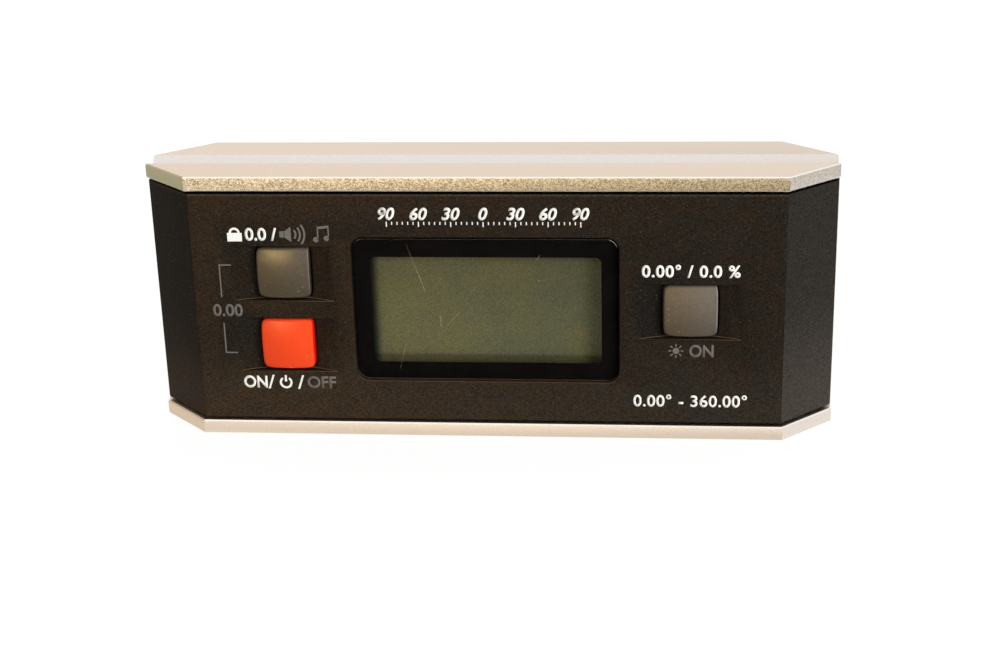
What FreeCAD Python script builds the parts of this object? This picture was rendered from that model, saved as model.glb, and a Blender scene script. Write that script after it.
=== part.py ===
"""Pocket digital protractor: an aluminium I-section frame that carries a front and a rear shell.

X runs along the rails, the display looks along -Y, and the base rests on z = 0.
The origin is the middle of the base. All sizes are millimetres.
"""
import FreeCAD, Part
import math
import os

Vector = FreeCAD.Vector
os.makedirs("parts", exist_ok=True)

# Overall sizes
length = 150.0
height = 59.0

# Round battery cells lie behind the web, and the depth of the body follows from them
cell_diameter = 10.4
cell_length = 44.5
cell_nub_radius = 1.9
cell_nub_length = 1.0
cell_clearance = 0.35
cell_gap = 0.5

# Aluminium frame: two rails with a vee groove each, joined by a web
web_thickness = 2.5
rail_lip = 3.2
rail_edge_bevel = 0.25
rail_end_round = 0.4
corner_cut = 11.3
groove_half_width = 3.6
groove_floor_half = 1.3
web_fillet = 0.8

# Moulded shells
shell_inset = 0.7
shell_end_inset = 0.2
shell_wall = 2.5
shell_side_wall = 2.0
shell_end_wall = 1.4
shell_rail_gap = 0.4
shell_edge_bevel = 0.3
shell_corner_round = 0.8

# Gaskets between the shells and the web
gasket_thickness = 0.8
gasket_width = 1.4
gasket_setback = 0.25
fillet_clearance = 0.1
gasket_corner = 1.2

# Battery tray and door
tray_floor = 0.8
tray_wall = 1.2
tray_clearance = 0.3
door_thickness = 1.5
door_half_length = 38.0
door_corner = 3.0
door_clearance = 0.15
door_gasket_thickness = 0.6
door_gasket_width = 1.4
door_ledge = 2.6
door_ledge_thickness = 1.6
contact_thickness = 0.4
spring_space = 3.2
spring_reach = 3.4
leaf_thickness = 0.3
leaf_half_width = 2.0
leaf_tip = 0.9

# Depth of the body, from the battery stack
shell_half_depth = web_thickness / 2 + tray_floor + cell_diameter + cell_clearance + door_thickness
width = 2 * (shell_half_depth + shell_inset)

# Front face layout
face_mid_z = height / 2 - 0.3
lens_half_length = 28.45
lens_half_height = 16.2
lens_thickness = 1.35
lens_corner = 2.5
lens_edge_bevel = 0.25
lens_gap = 0.2
adhesive_thickness = 0.1
adhesive_width = 1.3
mask_thickness = 0.1
view_half_length = 24.8
view_half_height = 12.0
view_drop = 0.4
view_corner = 1.2
window_ledge = 1.6

# Display stack on the board
lcd_thickness = 2.8
lcd_side_margin = 1.5
lcd_low_margin = 1.8
lcd_high_margin = 2.8
lcd_clearance = 0.2
holder_wall = 1.2
holder_lip_setback = 1.1
backlight_thickness = 2.2
strip_width = 1.8
strip_setback = 0.3

# Main board
board_thickness = 1.6
board_space = 2.35
board_gap = 0.6
board_corner = 1.0

# Buttons in their scooped wells
button_x = 43.7
button_pitch = 16.3
cap_half_size = 5.75
cap_corner = 1.5
cap_proud = 0.65
cap_crown_radius = 24.0
cap_wall = 1.2
cap_front_wall = 1.4
cap_post_radius = 1.6
cap_gap = 0.3
flange_width = 1.1
flange_thickness = 0.9
flange_gap = 0.2
scoop_half_length = 11.0
scoop_half_height = 6.2
scoop_depth = 2.8
well_floor = 2.1
well_wall = 1.7
well_clearance = 0.5

# Rubber keypads under the buttons
keypad_sheet = 1.0
keypad_skin = 0.7
keypad_rim = 0.6
dome_radius = 3.6
dome_gap = 0.2

# Screws
shell_screw_radius = 1.45
shell_screw_inset = 4.7
shell_screw_edge = 8.2
shell_screw_head_radius = 2.7
shell_screw_head_height = 2.0
shell_head_depth = 4.2
shell_boss_radius = 3.2
screw_bite = 6.5
board_screw_radius = 1.1
board_screw_head_radius = 2.0
board_screw_head_height = 1.5
board_boss_radius = 2.4
board_screw_x = 31.0
board_screw_edge = 3.5
door_screw_radius = 1.2
door_screw_head_radius = 2.4
door_screw_edge = 4.0
door_screw_length = 7.5
door_boss_radius = 2.6
screw_slack = 0.05
hole_slack = 0.25
driver_radius = 1.2
driver_depth = 0.9

# Electronic parts on the board and the lead-through in the web
sensor_half_size = 2.6
sensor_height = 1.7
processor_half_size = 5.0
processor_height = 1.5
processor_x = 17.0
processor_bevel = 0.2
buzzer_radius = 4.5
buzzer_height = 1.9
pin_half_size = 0.32
pin_x = 30.6
pin_half_pitch = 2.54
tail_half_width = 0.9
tail_slack = 0.1
grommet_wall = 1.2
grommet_lip = 0.9

# Places worked out from the sizes above
mid_z = height / 2
half_length = length / 2
half_width = width / 2
groove_depth = groove_half_width - groove_floor_half
shell_low_z = rail_lip + shell_rail_gap
gasket_low_z = rail_lip + web_fillet + fillet_clearance
rim_depth = web_thickness / 2 + gasket_thickness
face_y = -shell_half_depth
inner_face_y = face_y + shell_wall
lens_front_y = face_y + 0.05
lens_back_y = lens_front_y + lens_thickness
pocket_y = lens_back_y + adhesive_thickness
board_back_y = -(web_thickness / 2 + board_space)
board_front_y = board_back_y - board_thickness
lcd_back_y = board_front_y - backlight_thickness
lcd_front_y = lcd_back_y - lcd_thickness
view_mid_z = face_mid_z - view_drop
lcd_low_z = view_mid_z - view_half_height - lcd_low_margin
lcd_high_z = view_mid_z + view_half_height + lcd_high_margin
lcd_half_length = view_half_length + lcd_side_margin
well_floor_y = face_y + scoop_depth + well_floor
well_end_y = board_front_y - keypad_sheet
flange_front_y = well_floor_y + flange_gap
flange_back_y = flange_front_y + flange_thickness
flange_half_size = cap_half_size + flange_width
well_half_size = flange_half_size + well_clearance
shell_screw_x = half_length - corner_cut - shell_screw_inset
shell_screw_z = shell_low_z + shell_screw_edge
board_half_length = shell_screw_x - shell_boss_radius - board_gap
board_low_z = shell_low_z + shell_side_wall + board_gap
board_high_z = height - board_low_z
board_screw_z = board_low_z + board_screw_edge
cell_y = web_thickness / 2 + tray_floor + cell_clearance / 2 + cell_diameter / 2
cell_half_pitch = (cell_diameter + cell_gap) / 2
bay_half_length = (cell_length + spring_space) / 2 + contact_thickness
bay_half_height = cell_diameter + cell_gap
tray_half_length = bay_half_length + tray_wall
tray_half_height = bay_half_height + tray_wall
opening_half_length = tray_half_length + tray_clearance
opening_half_height = tray_half_height + tray_clearance
door_half_height = opening_half_height + door_ledge
door_inner_y = shell_half_depth - door_thickness
door_screw_x = door_half_length - door_screw_edge
ledge_y = door_inner_y - door_gasket_thickness
tail_y = web_thickness / 2 + tray_floor
pin_hole = pin_half_size + screw_slack

# Buttons: name, x and z of each
buttons = {
    "hold": (-button_x, face_mid_z + button_pitch / 2),
    "power": (-button_x, face_mid_z - button_pitch / 2),
    "units": (button_x, face_mid_z),
}
shell_screw_spots = [
    (x, z)
    for x in (-shell_screw_x, shell_screw_x)
    for z in (shell_screw_z, height - shell_screw_z)
]
board_screw_spots = [(-board_screw_x, height - board_screw_z), (board_screw_x, board_screw_z)]
door_screw_spots = [(-door_screw_x, mid_z), (door_screw_x, mid_z)]


def box(x0, x1, y0, y1, z0, z1):
    """Block between two corners."""
    return Part.makeBox(x1 - x0, y1 - y0, z1 - z0, Vector(x0, y0, z0))


def rod(radius, y0, y1, x, z):
    """Round bar along Y."""
    return Part.makeCylinder(radius, y1 - y0, Vector(x, y0, z), Vector(0, 1, 0))


def cone(radius0, radius1, y0, y1, x, z):
    """Tapered bar along Y, with its first radius at y0."""
    return Part.makeCone(radius0, radius1, y1 - y0, Vector(x, y0, z), Vector(0, 1, 0))


def edges_along(shape, direction):
    """Straight edges of a shape that run along one direction."""
    found = []
    for edge in shape.Edges:
        if edge.Curve.TypeId != "Part::GeomLine":
            continue
        run = edge.tangentAt(edge.FirstParameter)
        if abs(abs(run.dot(direction)) - 1) < 1e-6:
            found.append(edge)
    return found


def plate(half_x, half_z, corner, y0, y1, x=0.0, z=0.0):
    """Rounded rectangle in XZ, extruded along Y and centred on x and z."""
    blank = box(x - half_x, x + half_x, y0, y1, z - half_z, z + half_z)
    return blank.makeFillet(corner, edges_along(blank, Vector(0, 1, 0)))


def block(half_x, half_z, y0, y1, x=0.0, z=0.0):
    """Rectangle in XZ, extruded along Y and centred on x and z."""
    return box(x - half_x, x + half_x, y0, y1, z - half_z, z + half_z)


def ring(half_x, half_z, corner, ring_width, y0, y1, x=0.0, z=0.0):
    """Rectangular ring in XZ with rounded outer corners, extruded along Y."""
    outer = plate(half_x, half_z, corner, y0, y1, x, z)
    return outer.cut(block(half_x - ring_width, half_z - ring_width, y0, y1, x, z))


def plan_prism(inset, end_inset, z0, z1):
    """Upright prism on the frame's plan, a rectangle with 45 degree corners, moved inward by its insets."""
    end_x = half_length - end_inset
    side_y = half_width - inset
    corner_sum = half_length + half_width - corner_cut - inset * math.sqrt(2)
    corner_y = corner_sum - end_x
    corner_x = corner_sum - side_y
    quarter = [(end_x, corner_y), (corner_x, side_y)]
    outline = quarter + [(-x, y) for x, y in reversed(quarter)]
    outline += [(-x, -y) for x, y in quarter] + [(x, -y) for x, y in reversed(quarter)]
    points = [Vector(x, y, z0) for x, y in outline]
    face = Part.Face(Part.makePolygon(points + points[:1]))
    return face.extrude(Vector(0, 0, z1 - z0))


def bevel_rims(prism, size):
    """Bevel the edges of an upright prism's top and bottom."""
    rims = [edge for edge in prism.Edges if edge.BoundBox.ZLength < 1e-6]
    return prism.makeChamfer(size, rims)


def join(shapes):
    """Fuse solids that are one piece."""
    return shapes[0].multiFuse(shapes[1:]).removeSplitter()


def group(shapes):
    """Separate solids that share a node."""
    return Part.makeCompound(shapes)


def mirrored_z(shape):
    """Copy mirrored through the middle height."""
    return shape.mirror(Vector(0, 0, mid_z), Vector(0, 0, 1))


def save(name, shape):
    """Write one sub-part."""
    if not shape.isValid():
        raise ValueError(name + " is not a valid shape")
    shape.exportStep("parts/" + name + ".step")
    print(name, len(shape.Solids), round(shape.Volume, 1))


def vee_groove():
    """Cutter for the full-length vee groove in the base."""
    profile = [
        Vector(-half_length, -groove_half_width, 0),
        Vector(-half_length, -groove_floor_half, groove_depth),
        Vector(-half_length, groove_floor_half, groove_depth),
        Vector(-half_length, groove_half_width, 0),
    ]
    face = Part.Face(Part.makePolygon(profile + profile[:1]))
    return face.extrude(Vector(length, 0, 0))


def lead_through(slack):
    """Slot in the web for the two power pins, as a prism along Y."""
    half_height = pin_half_pitch + pin_half_size + grommet_wall + slack
    half_slot = pin_half_size + grommet_wall + slack
    return block(half_slot, half_height, -half_width, half_width, pin_x, mid_z)


def web_foot():
    """Foot of the web on a rail, with a quarter-round hollow along each side."""
    reach = web_thickness / 2 + web_fillet
    top_z = rail_lip + web_fillet
    foot = box(-half_length, half_length, -reach, reach, rail_lip / 2, top_z)
    for y in (-reach, reach):
        start = Vector(-half_length, y, top_z)
        foot = foot.cut(Part.makeCylinder(web_fillet, length, start, Vector(1, 0, 0)))
    return foot


def frame():
    """Aluminium I-section: two rails with rounded ends and a vee groove, and the web between them."""
    rail = plan_prism(0, 0, 0, rail_lip)
    upright = edges_along(rail, Vector(0, 0, 1))
    end_edges = [edge for edge in upright if abs(abs(edge.BoundBox.Center.x) - half_length) < 1e-6]
    rail = bevel_rims(rail.makeFillet(rail_end_round, end_edges), rail_edge_bevel)
    web_half = web_thickness / 2
    web = box(-half_length, half_length, -web_half, web_half, rail_lip / 2, height - rail_lip / 2)
    foot = web_foot()
    body = join([rail, mirrored_z(rail), web, foot, mirrored_z(foot)])
    groove = vee_groove()
    body = body.cut(groove).cut(mirrored_z(groove))
    for x, z in shell_screw_spots:
        body = body.cut(rod(shell_screw_radius + hole_slack, -half_width, half_width, x, z))
    return body.cut(lead_through(0))


def front_half(prism):
    """Part of a prism in front of the shell's rim."""
    return prism.common(box(-length, length, -width, -rim_depth, 0, height))


def shell_blank():
    """Front shell before its face details: a tray of even wall, open at the rim."""
    outer = plan_prism(shell_inset, shell_end_inset, shell_low_z, height - shell_low_z)
    outer = outer.makeFillet(shell_corner_round, edges_along(outer, Vector(0, 0, 1)))
    outer = bevel_rims(outer, shell_edge_bevel)
    low_z = shell_low_z + shell_side_wall
    cavity = plan_prism(
        shell_inset + shell_side_wall, shell_end_inset + shell_end_wall, low_z, height - low_z,
    )
    front_wall = box(-length, length, face_y, inner_face_y, 0, height)
    return front_half(outer).cut(front_half(cavity).cut(front_wall))


def scoop(x, z):
    """Cutter for a button's well: part of an upright cylinder between two flat walls."""
    radius = (scoop_half_length ** 2 + scoop_depth ** 2) / (2 * scoop_depth)
    bottom = Vector(x, face_y + scoop_depth - radius, z - scoop_half_height)
    return Part.makeCylinder(radius, 2 * scoop_half_height, bottom, Vector(0, 0, 1))


def well_block(x, z):
    """Walls behind a scoop that guide the cap's flange and press the keypad on the board."""
    half_size = well_half_size + well_wall
    return block(half_size, half_size, inner_face_y - shell_wall / 2, well_end_y, x, z)


def front_shell():
    """Front shell with the window, the scoops and wells, the board bosses and the screw bosses."""
    bosses = [
        rod(shell_boss_radius, inner_face_y - shell_wall / 2, -rim_depth, x, z)
        for x, z in shell_screw_spots
    ]
    bosses += [
        rod(board_boss_radius, inner_face_y - shell_wall / 2, board_front_y, x, z)
        for x, z in board_screw_spots
    ]
    wells = [well_block(x, z) for x, z in buttons.values()]
    body = join([shell_blank()] + bosses + wells)
    cuts = [
        plate(
            lens_half_length + lens_gap, lens_half_height + lens_gap, lens_corner + lens_gap,
            face_y - 1, pocket_y, 0, face_mid_z,
        ),
        plate(
            lens_half_length - window_ledge, lens_half_height - window_ledge, lens_corner / 2,
            face_y, inner_face_y, 0, face_mid_z,
        ),
    ]
    for x, z in buttons.values():
        hole_half = cap_half_size + cap_gap
        cuts.append(scoop(x, z))
        cuts.append(plate(hole_half, hole_half, cap_corner + cap_gap, face_y, well_floor_y, x, z))
        cuts.append(block(well_half_size, well_half_size, well_floor_y, well_end_y, x, z))
    for x, z in shell_screw_spots:
        cuts.append(rod(shell_screw_radius + screw_slack, -rim_depth - screw_bite - 1, 0, x, z))
    for x, z in board_screw_spots:
        cuts.append(rod(board_screw_radius + screw_slack, inner_face_y + 1, board_front_y, x, z))
    for cutter in cuts:
        body = body.cut(cutter)
    return body


def rear_shell():
    """Rear shell with the battery opening, the door's recess and the screw bosses."""
    blank = shell_blank().mirror(Vector(0, 0, 0), Vector(0, 1, 0))
    wall_middle_y = shell_half_depth - shell_wall / 2
    bosses = [
        rod(shell_boss_radius, rim_depth, wall_middle_y, x, z)
        for x, z in shell_screw_spots
    ]
    boss_start_y = shell_half_depth - door_screw_length - shell_wall
    bosses += [
        rod(door_boss_radius, boss_start_y, wall_middle_y, x, z)
        for x, z in door_screw_spots
    ]
    thick_half_length = door_half_length + shell_side_wall
    thick_half_height = door_half_height + shell_side_wall
    bosses.append(
        plate(
            thick_half_length, thick_half_height, door_corner,
            ledge_y - door_ledge_thickness, wall_middle_y, 0, mid_z,
        )
    )
    body = join([blank] + bosses)
    cuts = [
        plate(
            door_half_length, door_half_height, door_corner,
            ledge_y, shell_half_depth + 1, 0, mid_z,
        ),
        plate(
            opening_half_length, opening_half_height, tray_wall,
            rim_depth, ledge_y, 0, mid_z,
        ),
    ]
    for x, z in shell_screw_spots:
        head_y = shell_half_depth - shell_head_depth
        cuts.append(rod(shell_screw_radius + hole_slack, 0, shell_half_depth, x, z))
        cuts.append(rod(shell_screw_head_radius + hole_slack, head_y, shell_half_depth + 1, x, z))
    for x, z in door_screw_spots:
        cuts.append(rod(door_screw_radius + screw_slack, boss_start_y + 1, ledge_y, x, z))
    for cutter in cuts:
        body = body.cut(cutter)
    return body


def rim_gasket(side):
    """Rubber ring between a shell's rim and the web, on the side -1 front or 1 rear."""
    half_x = half_length - shell_end_inset - gasket_setback
    half_z = mid_z - gasket_low_z
    ys = sorted([side * web_thickness / 2, side * rim_depth])
    return ring(half_x, half_z, gasket_corner, gasket_width, ys[0], ys[1], 0, mid_z)


def display_lens():
    """Clear window plate, with a small bevel round its front edge."""
    lens = plate(
        lens_half_length, lens_half_height, lens_corner,
        lens_front_y, lens_back_y - mask_thickness, 0, face_mid_z,
    )
    rims = [edge for edge in lens.Edges if abs(edge.BoundBox.YMax - lens_front_y) < 1e-6]
    return lens.makeChamfer(lens_edge_bevel, rims)


def window_mask():
    """Black border film on the back of the window, open over the view area."""
    film = plate(
        lens_half_length, lens_half_height, lens_corner,
        lens_back_y - mask_thickness, lens_back_y, 0, face_mid_z,
    )
    view = plate(view_half_length, view_half_height, view_corner, face_y, 0, 0, view_mid_z)
    return film.cut(view)


def lens_adhesive():
    """Sealing tape ring between the window and its ledge."""
    return ring(
        lens_half_length, lens_half_height, lens_corner, adhesive_width,
        lens_back_y, pocket_y, 0, face_mid_z,
    )


def lcd_panel():
    """Liquid crystal panel."""
    return box(-lcd_half_length, lcd_half_length, lcd_front_y, lcd_back_y, lcd_low_z, lcd_high_z)


def lcd_holder():
    """Moulded frame that holds the panel and the backlight on the board."""
    side = lcd_clearance + holder_wall
    half_z = (lcd_high_z - lcd_low_z) / 2 + side
    center_z = (lcd_high_z + lcd_low_z) / 2
    outer = plate(lcd_half_length + side, half_z, holder_wall, inner_face_y, board_front_y, 0, center_z)
    slack = lcd_clearance
    pocket = box(
        -lcd_half_length - slack, lcd_half_length + slack,
        lcd_front_y, board_front_y, lcd_low_z - slack, lcd_high_z + slack,
    )
    sight = plate(
        view_half_length + holder_lip_setback, view_half_height + holder_lip_setback,
        view_corner, inner_face_y, lcd_front_y, 0, view_mid_z,
    )
    return outer.cut(pocket).cut(sight)


def backlight_panel():
    """Light guide behind the panel, clear of the contact strip."""
    top_z = lcd_high_z - strip_setback - strip_width - lcd_clearance
    return box(-lcd_half_length, lcd_half_length, lcd_back_y, board_front_y, lcd_low_z, top_z)


def contact_strip():
    """Striped rubber connector between the panel's upper ledge and the board."""
    top_z = lcd_high_z - strip_setback
    half = view_half_length
    return box(-half, half, lcd_back_y, board_front_y, top_z - strip_width, top_z)


def main_board():
    """Circuit board across the display and all the buttons."""
    half_z = (board_high_z - board_low_z) / 2
    board = plate(board_half_length, half_z, board_corner, board_front_y, board_back_y, 0, mid_z)
    for x, z in board_screw_spots:
        board = board.cut(rod(board_screw_radius + hole_slack, board_front_y, board_back_y, x, z))
    for z in (mid_z - pin_half_pitch, mid_z + pin_half_pitch):
        board = board.cut(block(pin_hole, pin_hole, board_front_y, board_back_y, pin_x, z))
    return board


def driver_recess(y_top, x, z):
    """Cutter for the hexagonal driver recess in a screw's head."""
    corners = []
    for index in range(6):
        angle = index * math.pi / 3
        corner_x = x + driver_radius * math.cos(angle)
        corners.append(Vector(corner_x, y_top - driver_depth, z + driver_radius * math.sin(angle)))
    face = Part.Face(Part.makePolygon(corners + corners[:1]))
    return face.extrude(Vector(0, driver_depth, 0))


def screw(radius, head_radius, head_height, y_tip, y_seat, x, z):
    """Cap screw that points along -Y."""
    shank = rod(radius, y_tip, y_seat, x, z)
    y_top = y_seat + head_height
    head = rod(head_radius, y_seat, y_top, x, z)
    return join([shank, head]).cut(driver_recess(y_top, x, z))


def board_screws():
    """Two screws that hold the board on the front shell's bosses."""
    tip_y = inner_face_y + 1.5
    return group([
        screw(board_screw_radius, board_screw_head_radius, board_screw_head_height, tip_y, board_back_y, x, z)
        for x, z in board_screw_spots
    ])


def shell_screws():
    """Four long screws from the rear shell through the web into the front shell."""
    seat_y = shell_half_depth - shell_head_depth
    tip_y = -rim_depth - screw_bite
    return group([
        screw(shell_screw_radius, shell_screw_head_radius, shell_screw_head_height, tip_y, seat_y, x, z)
        for x, z in shell_screw_spots
    ])


def tilt_sensor():
    """Inclination sensor in the middle of the board's back."""
    half = sensor_half_size
    return box(-half, half, board_back_y, board_back_y + sensor_height, mid_z - half, mid_z + half)


def processor_chip():
    """Flat square leadless package."""
    half = processor_half_size
    back_y = board_back_y + processor_height
    body = block(half, half, board_back_y, back_y, processor_x, mid_z)
    rims = [edge for edge in body.Edges if edge.BoundBox.YMin > back_y - 1e-6]
    return body.makeChamfer(processor_bevel, rims)


def piezo_buzzer():
    """Round sounder on the back of the board, behind the units button."""
    return rod(buzzer_radius, board_back_y, board_back_y + buzzer_height, button_x, mid_z)


def keypad(spots):
    """Rubber sheet on the board with a hollow dome under each cap."""
    half_x = well_half_size + keypad_rim
    zs = [z for x, z in spots]
    half_z = half_x + (max(zs) - min(zs)) / 2
    center_z = (max(zs) + min(zs)) / 2
    pad = plate(half_x, half_z, cap_corner, well_end_y, board_front_y, spots[0][0], center_z)
    top_y = flange_back_y + dome_gap
    skin = keypad_skin
    for x, z in spots:
        pad = pad.fuse(rod(dome_radius, top_y, well_end_y, x, z))
        pad = pad.cut(rod(dome_radius - skin, top_y + skin, board_front_y, x, z))
    return pad.removeSplitter()


def button_cap(x, z):
    """Crowned cap with a stop flange, hollow behind, and a post over the rubber dome."""
    crown_y = face_y - cap_proud
    stem = plate(cap_half_size, cap_half_size, cap_corner, crown_y - 1, flange_back_y, x, z)
    crown = Part.makeSphere(cap_crown_radius, Vector(x, crown_y + cap_crown_radius, z))
    stem = stem.common(crown)
    flange = block(flange_half_size, flange_half_size, flange_front_y, flange_back_y, x, z)
    body = join([stem, flange])
    inner_half = cap_half_size - cap_wall
    hollow_y = crown_y + cap_front_wall + cap_wall
    body = body.cut(block(inner_half, inner_half, hollow_y, flange_back_y, x, z))
    post = rod(cap_post_radius, hollow_y - cap_wall / 2, flange_back_y, x, z)
    return join([body, post])


def contact_tail(side, slack):
    """Strip from a contact plate, through the tray's end wall, to the end of its power pin."""
    z = mid_z + side * pin_half_pitch
    reach = tail_half_width + slack
    return box(
        bay_half_length - contact_thickness, pin_x + pin_half_size + slack,
        tail_y, tail_y + contact_thickness + slack, z - reach, z + reach,
    )


def battery_tray():
    """Open box for the two cells, seated on the back of the web."""
    web_y = web_thickness / 2
    outer = plate(tray_half_length, tray_half_height, tray_wall, web_y, ledge_y, 0, mid_z)
    floor_y = web_y + tray_floor
    bay = box(
        -bay_half_length, bay_half_length, floor_y, ledge_y,
        mid_z - bay_half_height, mid_z + bay_half_height,
    )
    tray = outer.cut(bay)
    ridge_half = cell_gap / 2
    ridge = box(
        -cell_length / 2 + spring_space, cell_length / 2 - spring_space,
        floor_y - tray_floor / 2, cell_y - cell_diameter / 4,
        mid_z - ridge_half, mid_z + ridge_half,
    )
    tray = join([tray, ridge])
    for side in (-1, 1):
        tray = tray.cut(contact_tail(side, tail_slack))
    return tray


def cell(side):
    """One cell along X: side 1 lies above and points its nub to -X, side -1 the other way."""
    flat_x = side * (cell_length / 2 - spring_space / 2)
    z = mid_z + side * cell_half_pitch
    towards_nub = Vector(-side, 0, 0)
    can_length = cell_length - cell_nub_length
    can = Part.makeCylinder(cell_diameter / 2, can_length, Vector(flat_x, cell_y, z), towards_nub)
    nub_start = Vector(flat_x - side * (can_length - cell_nub_length), cell_y, z)
    nub = Part.makeCylinder(cell_nub_radius, 2 * cell_nub_length, nub_start, towards_nub)
    return join([can, nub])


def contact_plates():
    """Plated contacts: one link at the -X end and two plates with tails at the +X end."""
    low_y = cell_y - cell_diameter / 4
    high_y = cell_y + cell_diameter / 4
    half = bay_half_length
    reach = bay_half_height - cell_gap
    link = box(-half, -half + contact_thickness, low_y, high_y, mid_z - reach, mid_z + reach)
    tabs = []
    for side in (-1, 1):
        zs = sorted([mid_z + side * cell_gap, mid_z + side * reach])
        tab = box(half - contact_thickness, half, tail_y, high_y, zs[0], zs[1])
        tabs.append(join([tab, contact_tail(side, 0)]))
    return group([link] + tabs)


def cell_spring(side):
    """Leaf spring bowed from a contact plate to the flat end of a cell."""
    plate_x = side * (bay_half_length - contact_thickness)
    z = mid_z + side * cell_half_pitch
    leaf = leaf_thickness
    bow = spring_space
    outer = [(0, -spring_reach), (bow, -leaf_tip), (bow, leaf_tip), (0, spring_reach)]
    inner = [(0, spring_reach - 2 * leaf), (bow - leaf, leaf_tip / 2), (bow - leaf, -leaf_tip / 2)]
    inner.append((0, -spring_reach + 2 * leaf))
    corners = [
        Vector(plate_x - side * out, cell_y + along, z - leaf_half_width) for out, along in outer + inner
    ]
    face = Part.Face(Part.makePolygon(corners + corners[:1]))
    return face.extrude(Vector(0, 0, 2 * leaf_half_width))


def power_pins():
    """Two pins that lead the battery current through the web to the board."""
    return group([
        block(pin_half_size, pin_half_size, board_front_y, tail_y, pin_x, z)
        for z in (mid_z - pin_half_pitch, mid_z + pin_half_pitch)
    ])


def web_grommet():
    """Insulating bush in the web round the power pins, with a flange on the rear."""
    back_y = web_thickness / 2
    core = lead_through(-screw_slack).common(box(0, length, -back_y, (back_y + tail_y) / 2, 0, height))
    flange = lead_through(grommet_lip).common(box(0, length, back_y, tail_y, 0, height))
    bush = join([core, flange])
    for z in (mid_z - pin_half_pitch, mid_z + pin_half_pitch):
        bush = bush.cut(block(pin_hole, pin_hole, -half_width, half_width, pin_x, z))
    return bush


def battery_door():
    """Door plate with raised feet round its two screws."""
    half_x = door_half_length - door_clearance
    half_z = door_half_height - door_clearance
    door = plate(half_x, half_z, door_corner - door_clearance, door_inner_y, shell_half_depth, 0, mid_z)
    foot_end_y = door_inner_y + door_thickness / 2
    feet = [rod(door_boss_radius, ledge_y, foot_end_y, x, z) for x, z in door_screw_spots]
    door = join([door] + feet)
    for x, z in door_screw_spots:
        hole = door_screw_radius + hole_slack
        head = door_screw_head_radius + hole_slack
        door = door.cut(rod(hole, ledge_y, shell_half_depth, x, z))
        door = door.cut(cone(hole, head, shell_half_depth - (head - hole), shell_half_depth, x, z))
    return door


def door_gasket():
    """Rubber ring between the door and its ledge."""
    half_x = opening_half_length + door_gasket_width + gasket_setback
    half_z = opening_half_height + door_gasket_width + gasket_setback
    return ring(half_x, half_z, door_corner, door_gasket_width, ledge_y, door_inner_y, 0, mid_z)


def door_screws():
    """Two countersunk screws that turn into bosses of the rear shell."""
    screws = []
    for x, z in door_screw_spots:
        rise = door_screw_head_radius - door_screw_radius
        top_y = shell_half_depth - hole_slack
        head = cone(door_screw_radius, door_screw_head_radius, top_y - rise, top_y, x, z)
        shank = rod(door_screw_radius, top_y - door_screw_length, top_y - rise / 2, x, z)
        screws.append(join([head, shank]).cut(driver_recess(top_y, x, z)))
    return group(screws)


save("frame", frame())
save("front_shell", front_shell())
save("rear_shell", rear_shell())
save("front_gasket", rim_gasket(-1))
save("rear_gasket", rim_gasket(1))
save("display_lens", display_lens())
save("window_mask", window_mask())
save("lens_adhesive", lens_adhesive())
save("lcd_panel", lcd_panel())
save("lcd_holder", lcd_holder())
save("backlight_panel", backlight_panel())
save("contact_strip", contact_strip())
save("main_board", main_board())
save("board_screws", board_screws())
save("tilt_sensor", tilt_sensor())
save("processor_chip", processor_chip())
save("piezo_buzzer", piezo_buzzer())
save("left_keypad", keypad([buttons["hold"], buttons["power"]]))
save("right_keypad", keypad([buttons["units"]]))
for name, (x, z) in buttons.items():
    save(name + "_button", button_cap(x, z))
save("battery_tray", battery_tray())
save("battery_cells", group([cell(1), cell(-1)]))
save("battery_springs", group([cell_spring(1), cell_spring(-1)]))
save("contact_plates", contact_plates())
save("power_pins", power_pins())
save("web_grommet", web_grommet())
save("battery_door", battery_door())
save("door_gasket", door_gasket())
save("door_screws", door_screws())
save("shell_screws", shell_screws())
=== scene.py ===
"""Looks of a pocket digital protractor, laid out as an add-on and run as a script.

All lengths are metres, in the same frame as the solids: X along the rails, -Y the display side, +Z up.
"""
import math

import bmesh
import bpy
import numpy as np
from mathutils import Matrix, Vector


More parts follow.
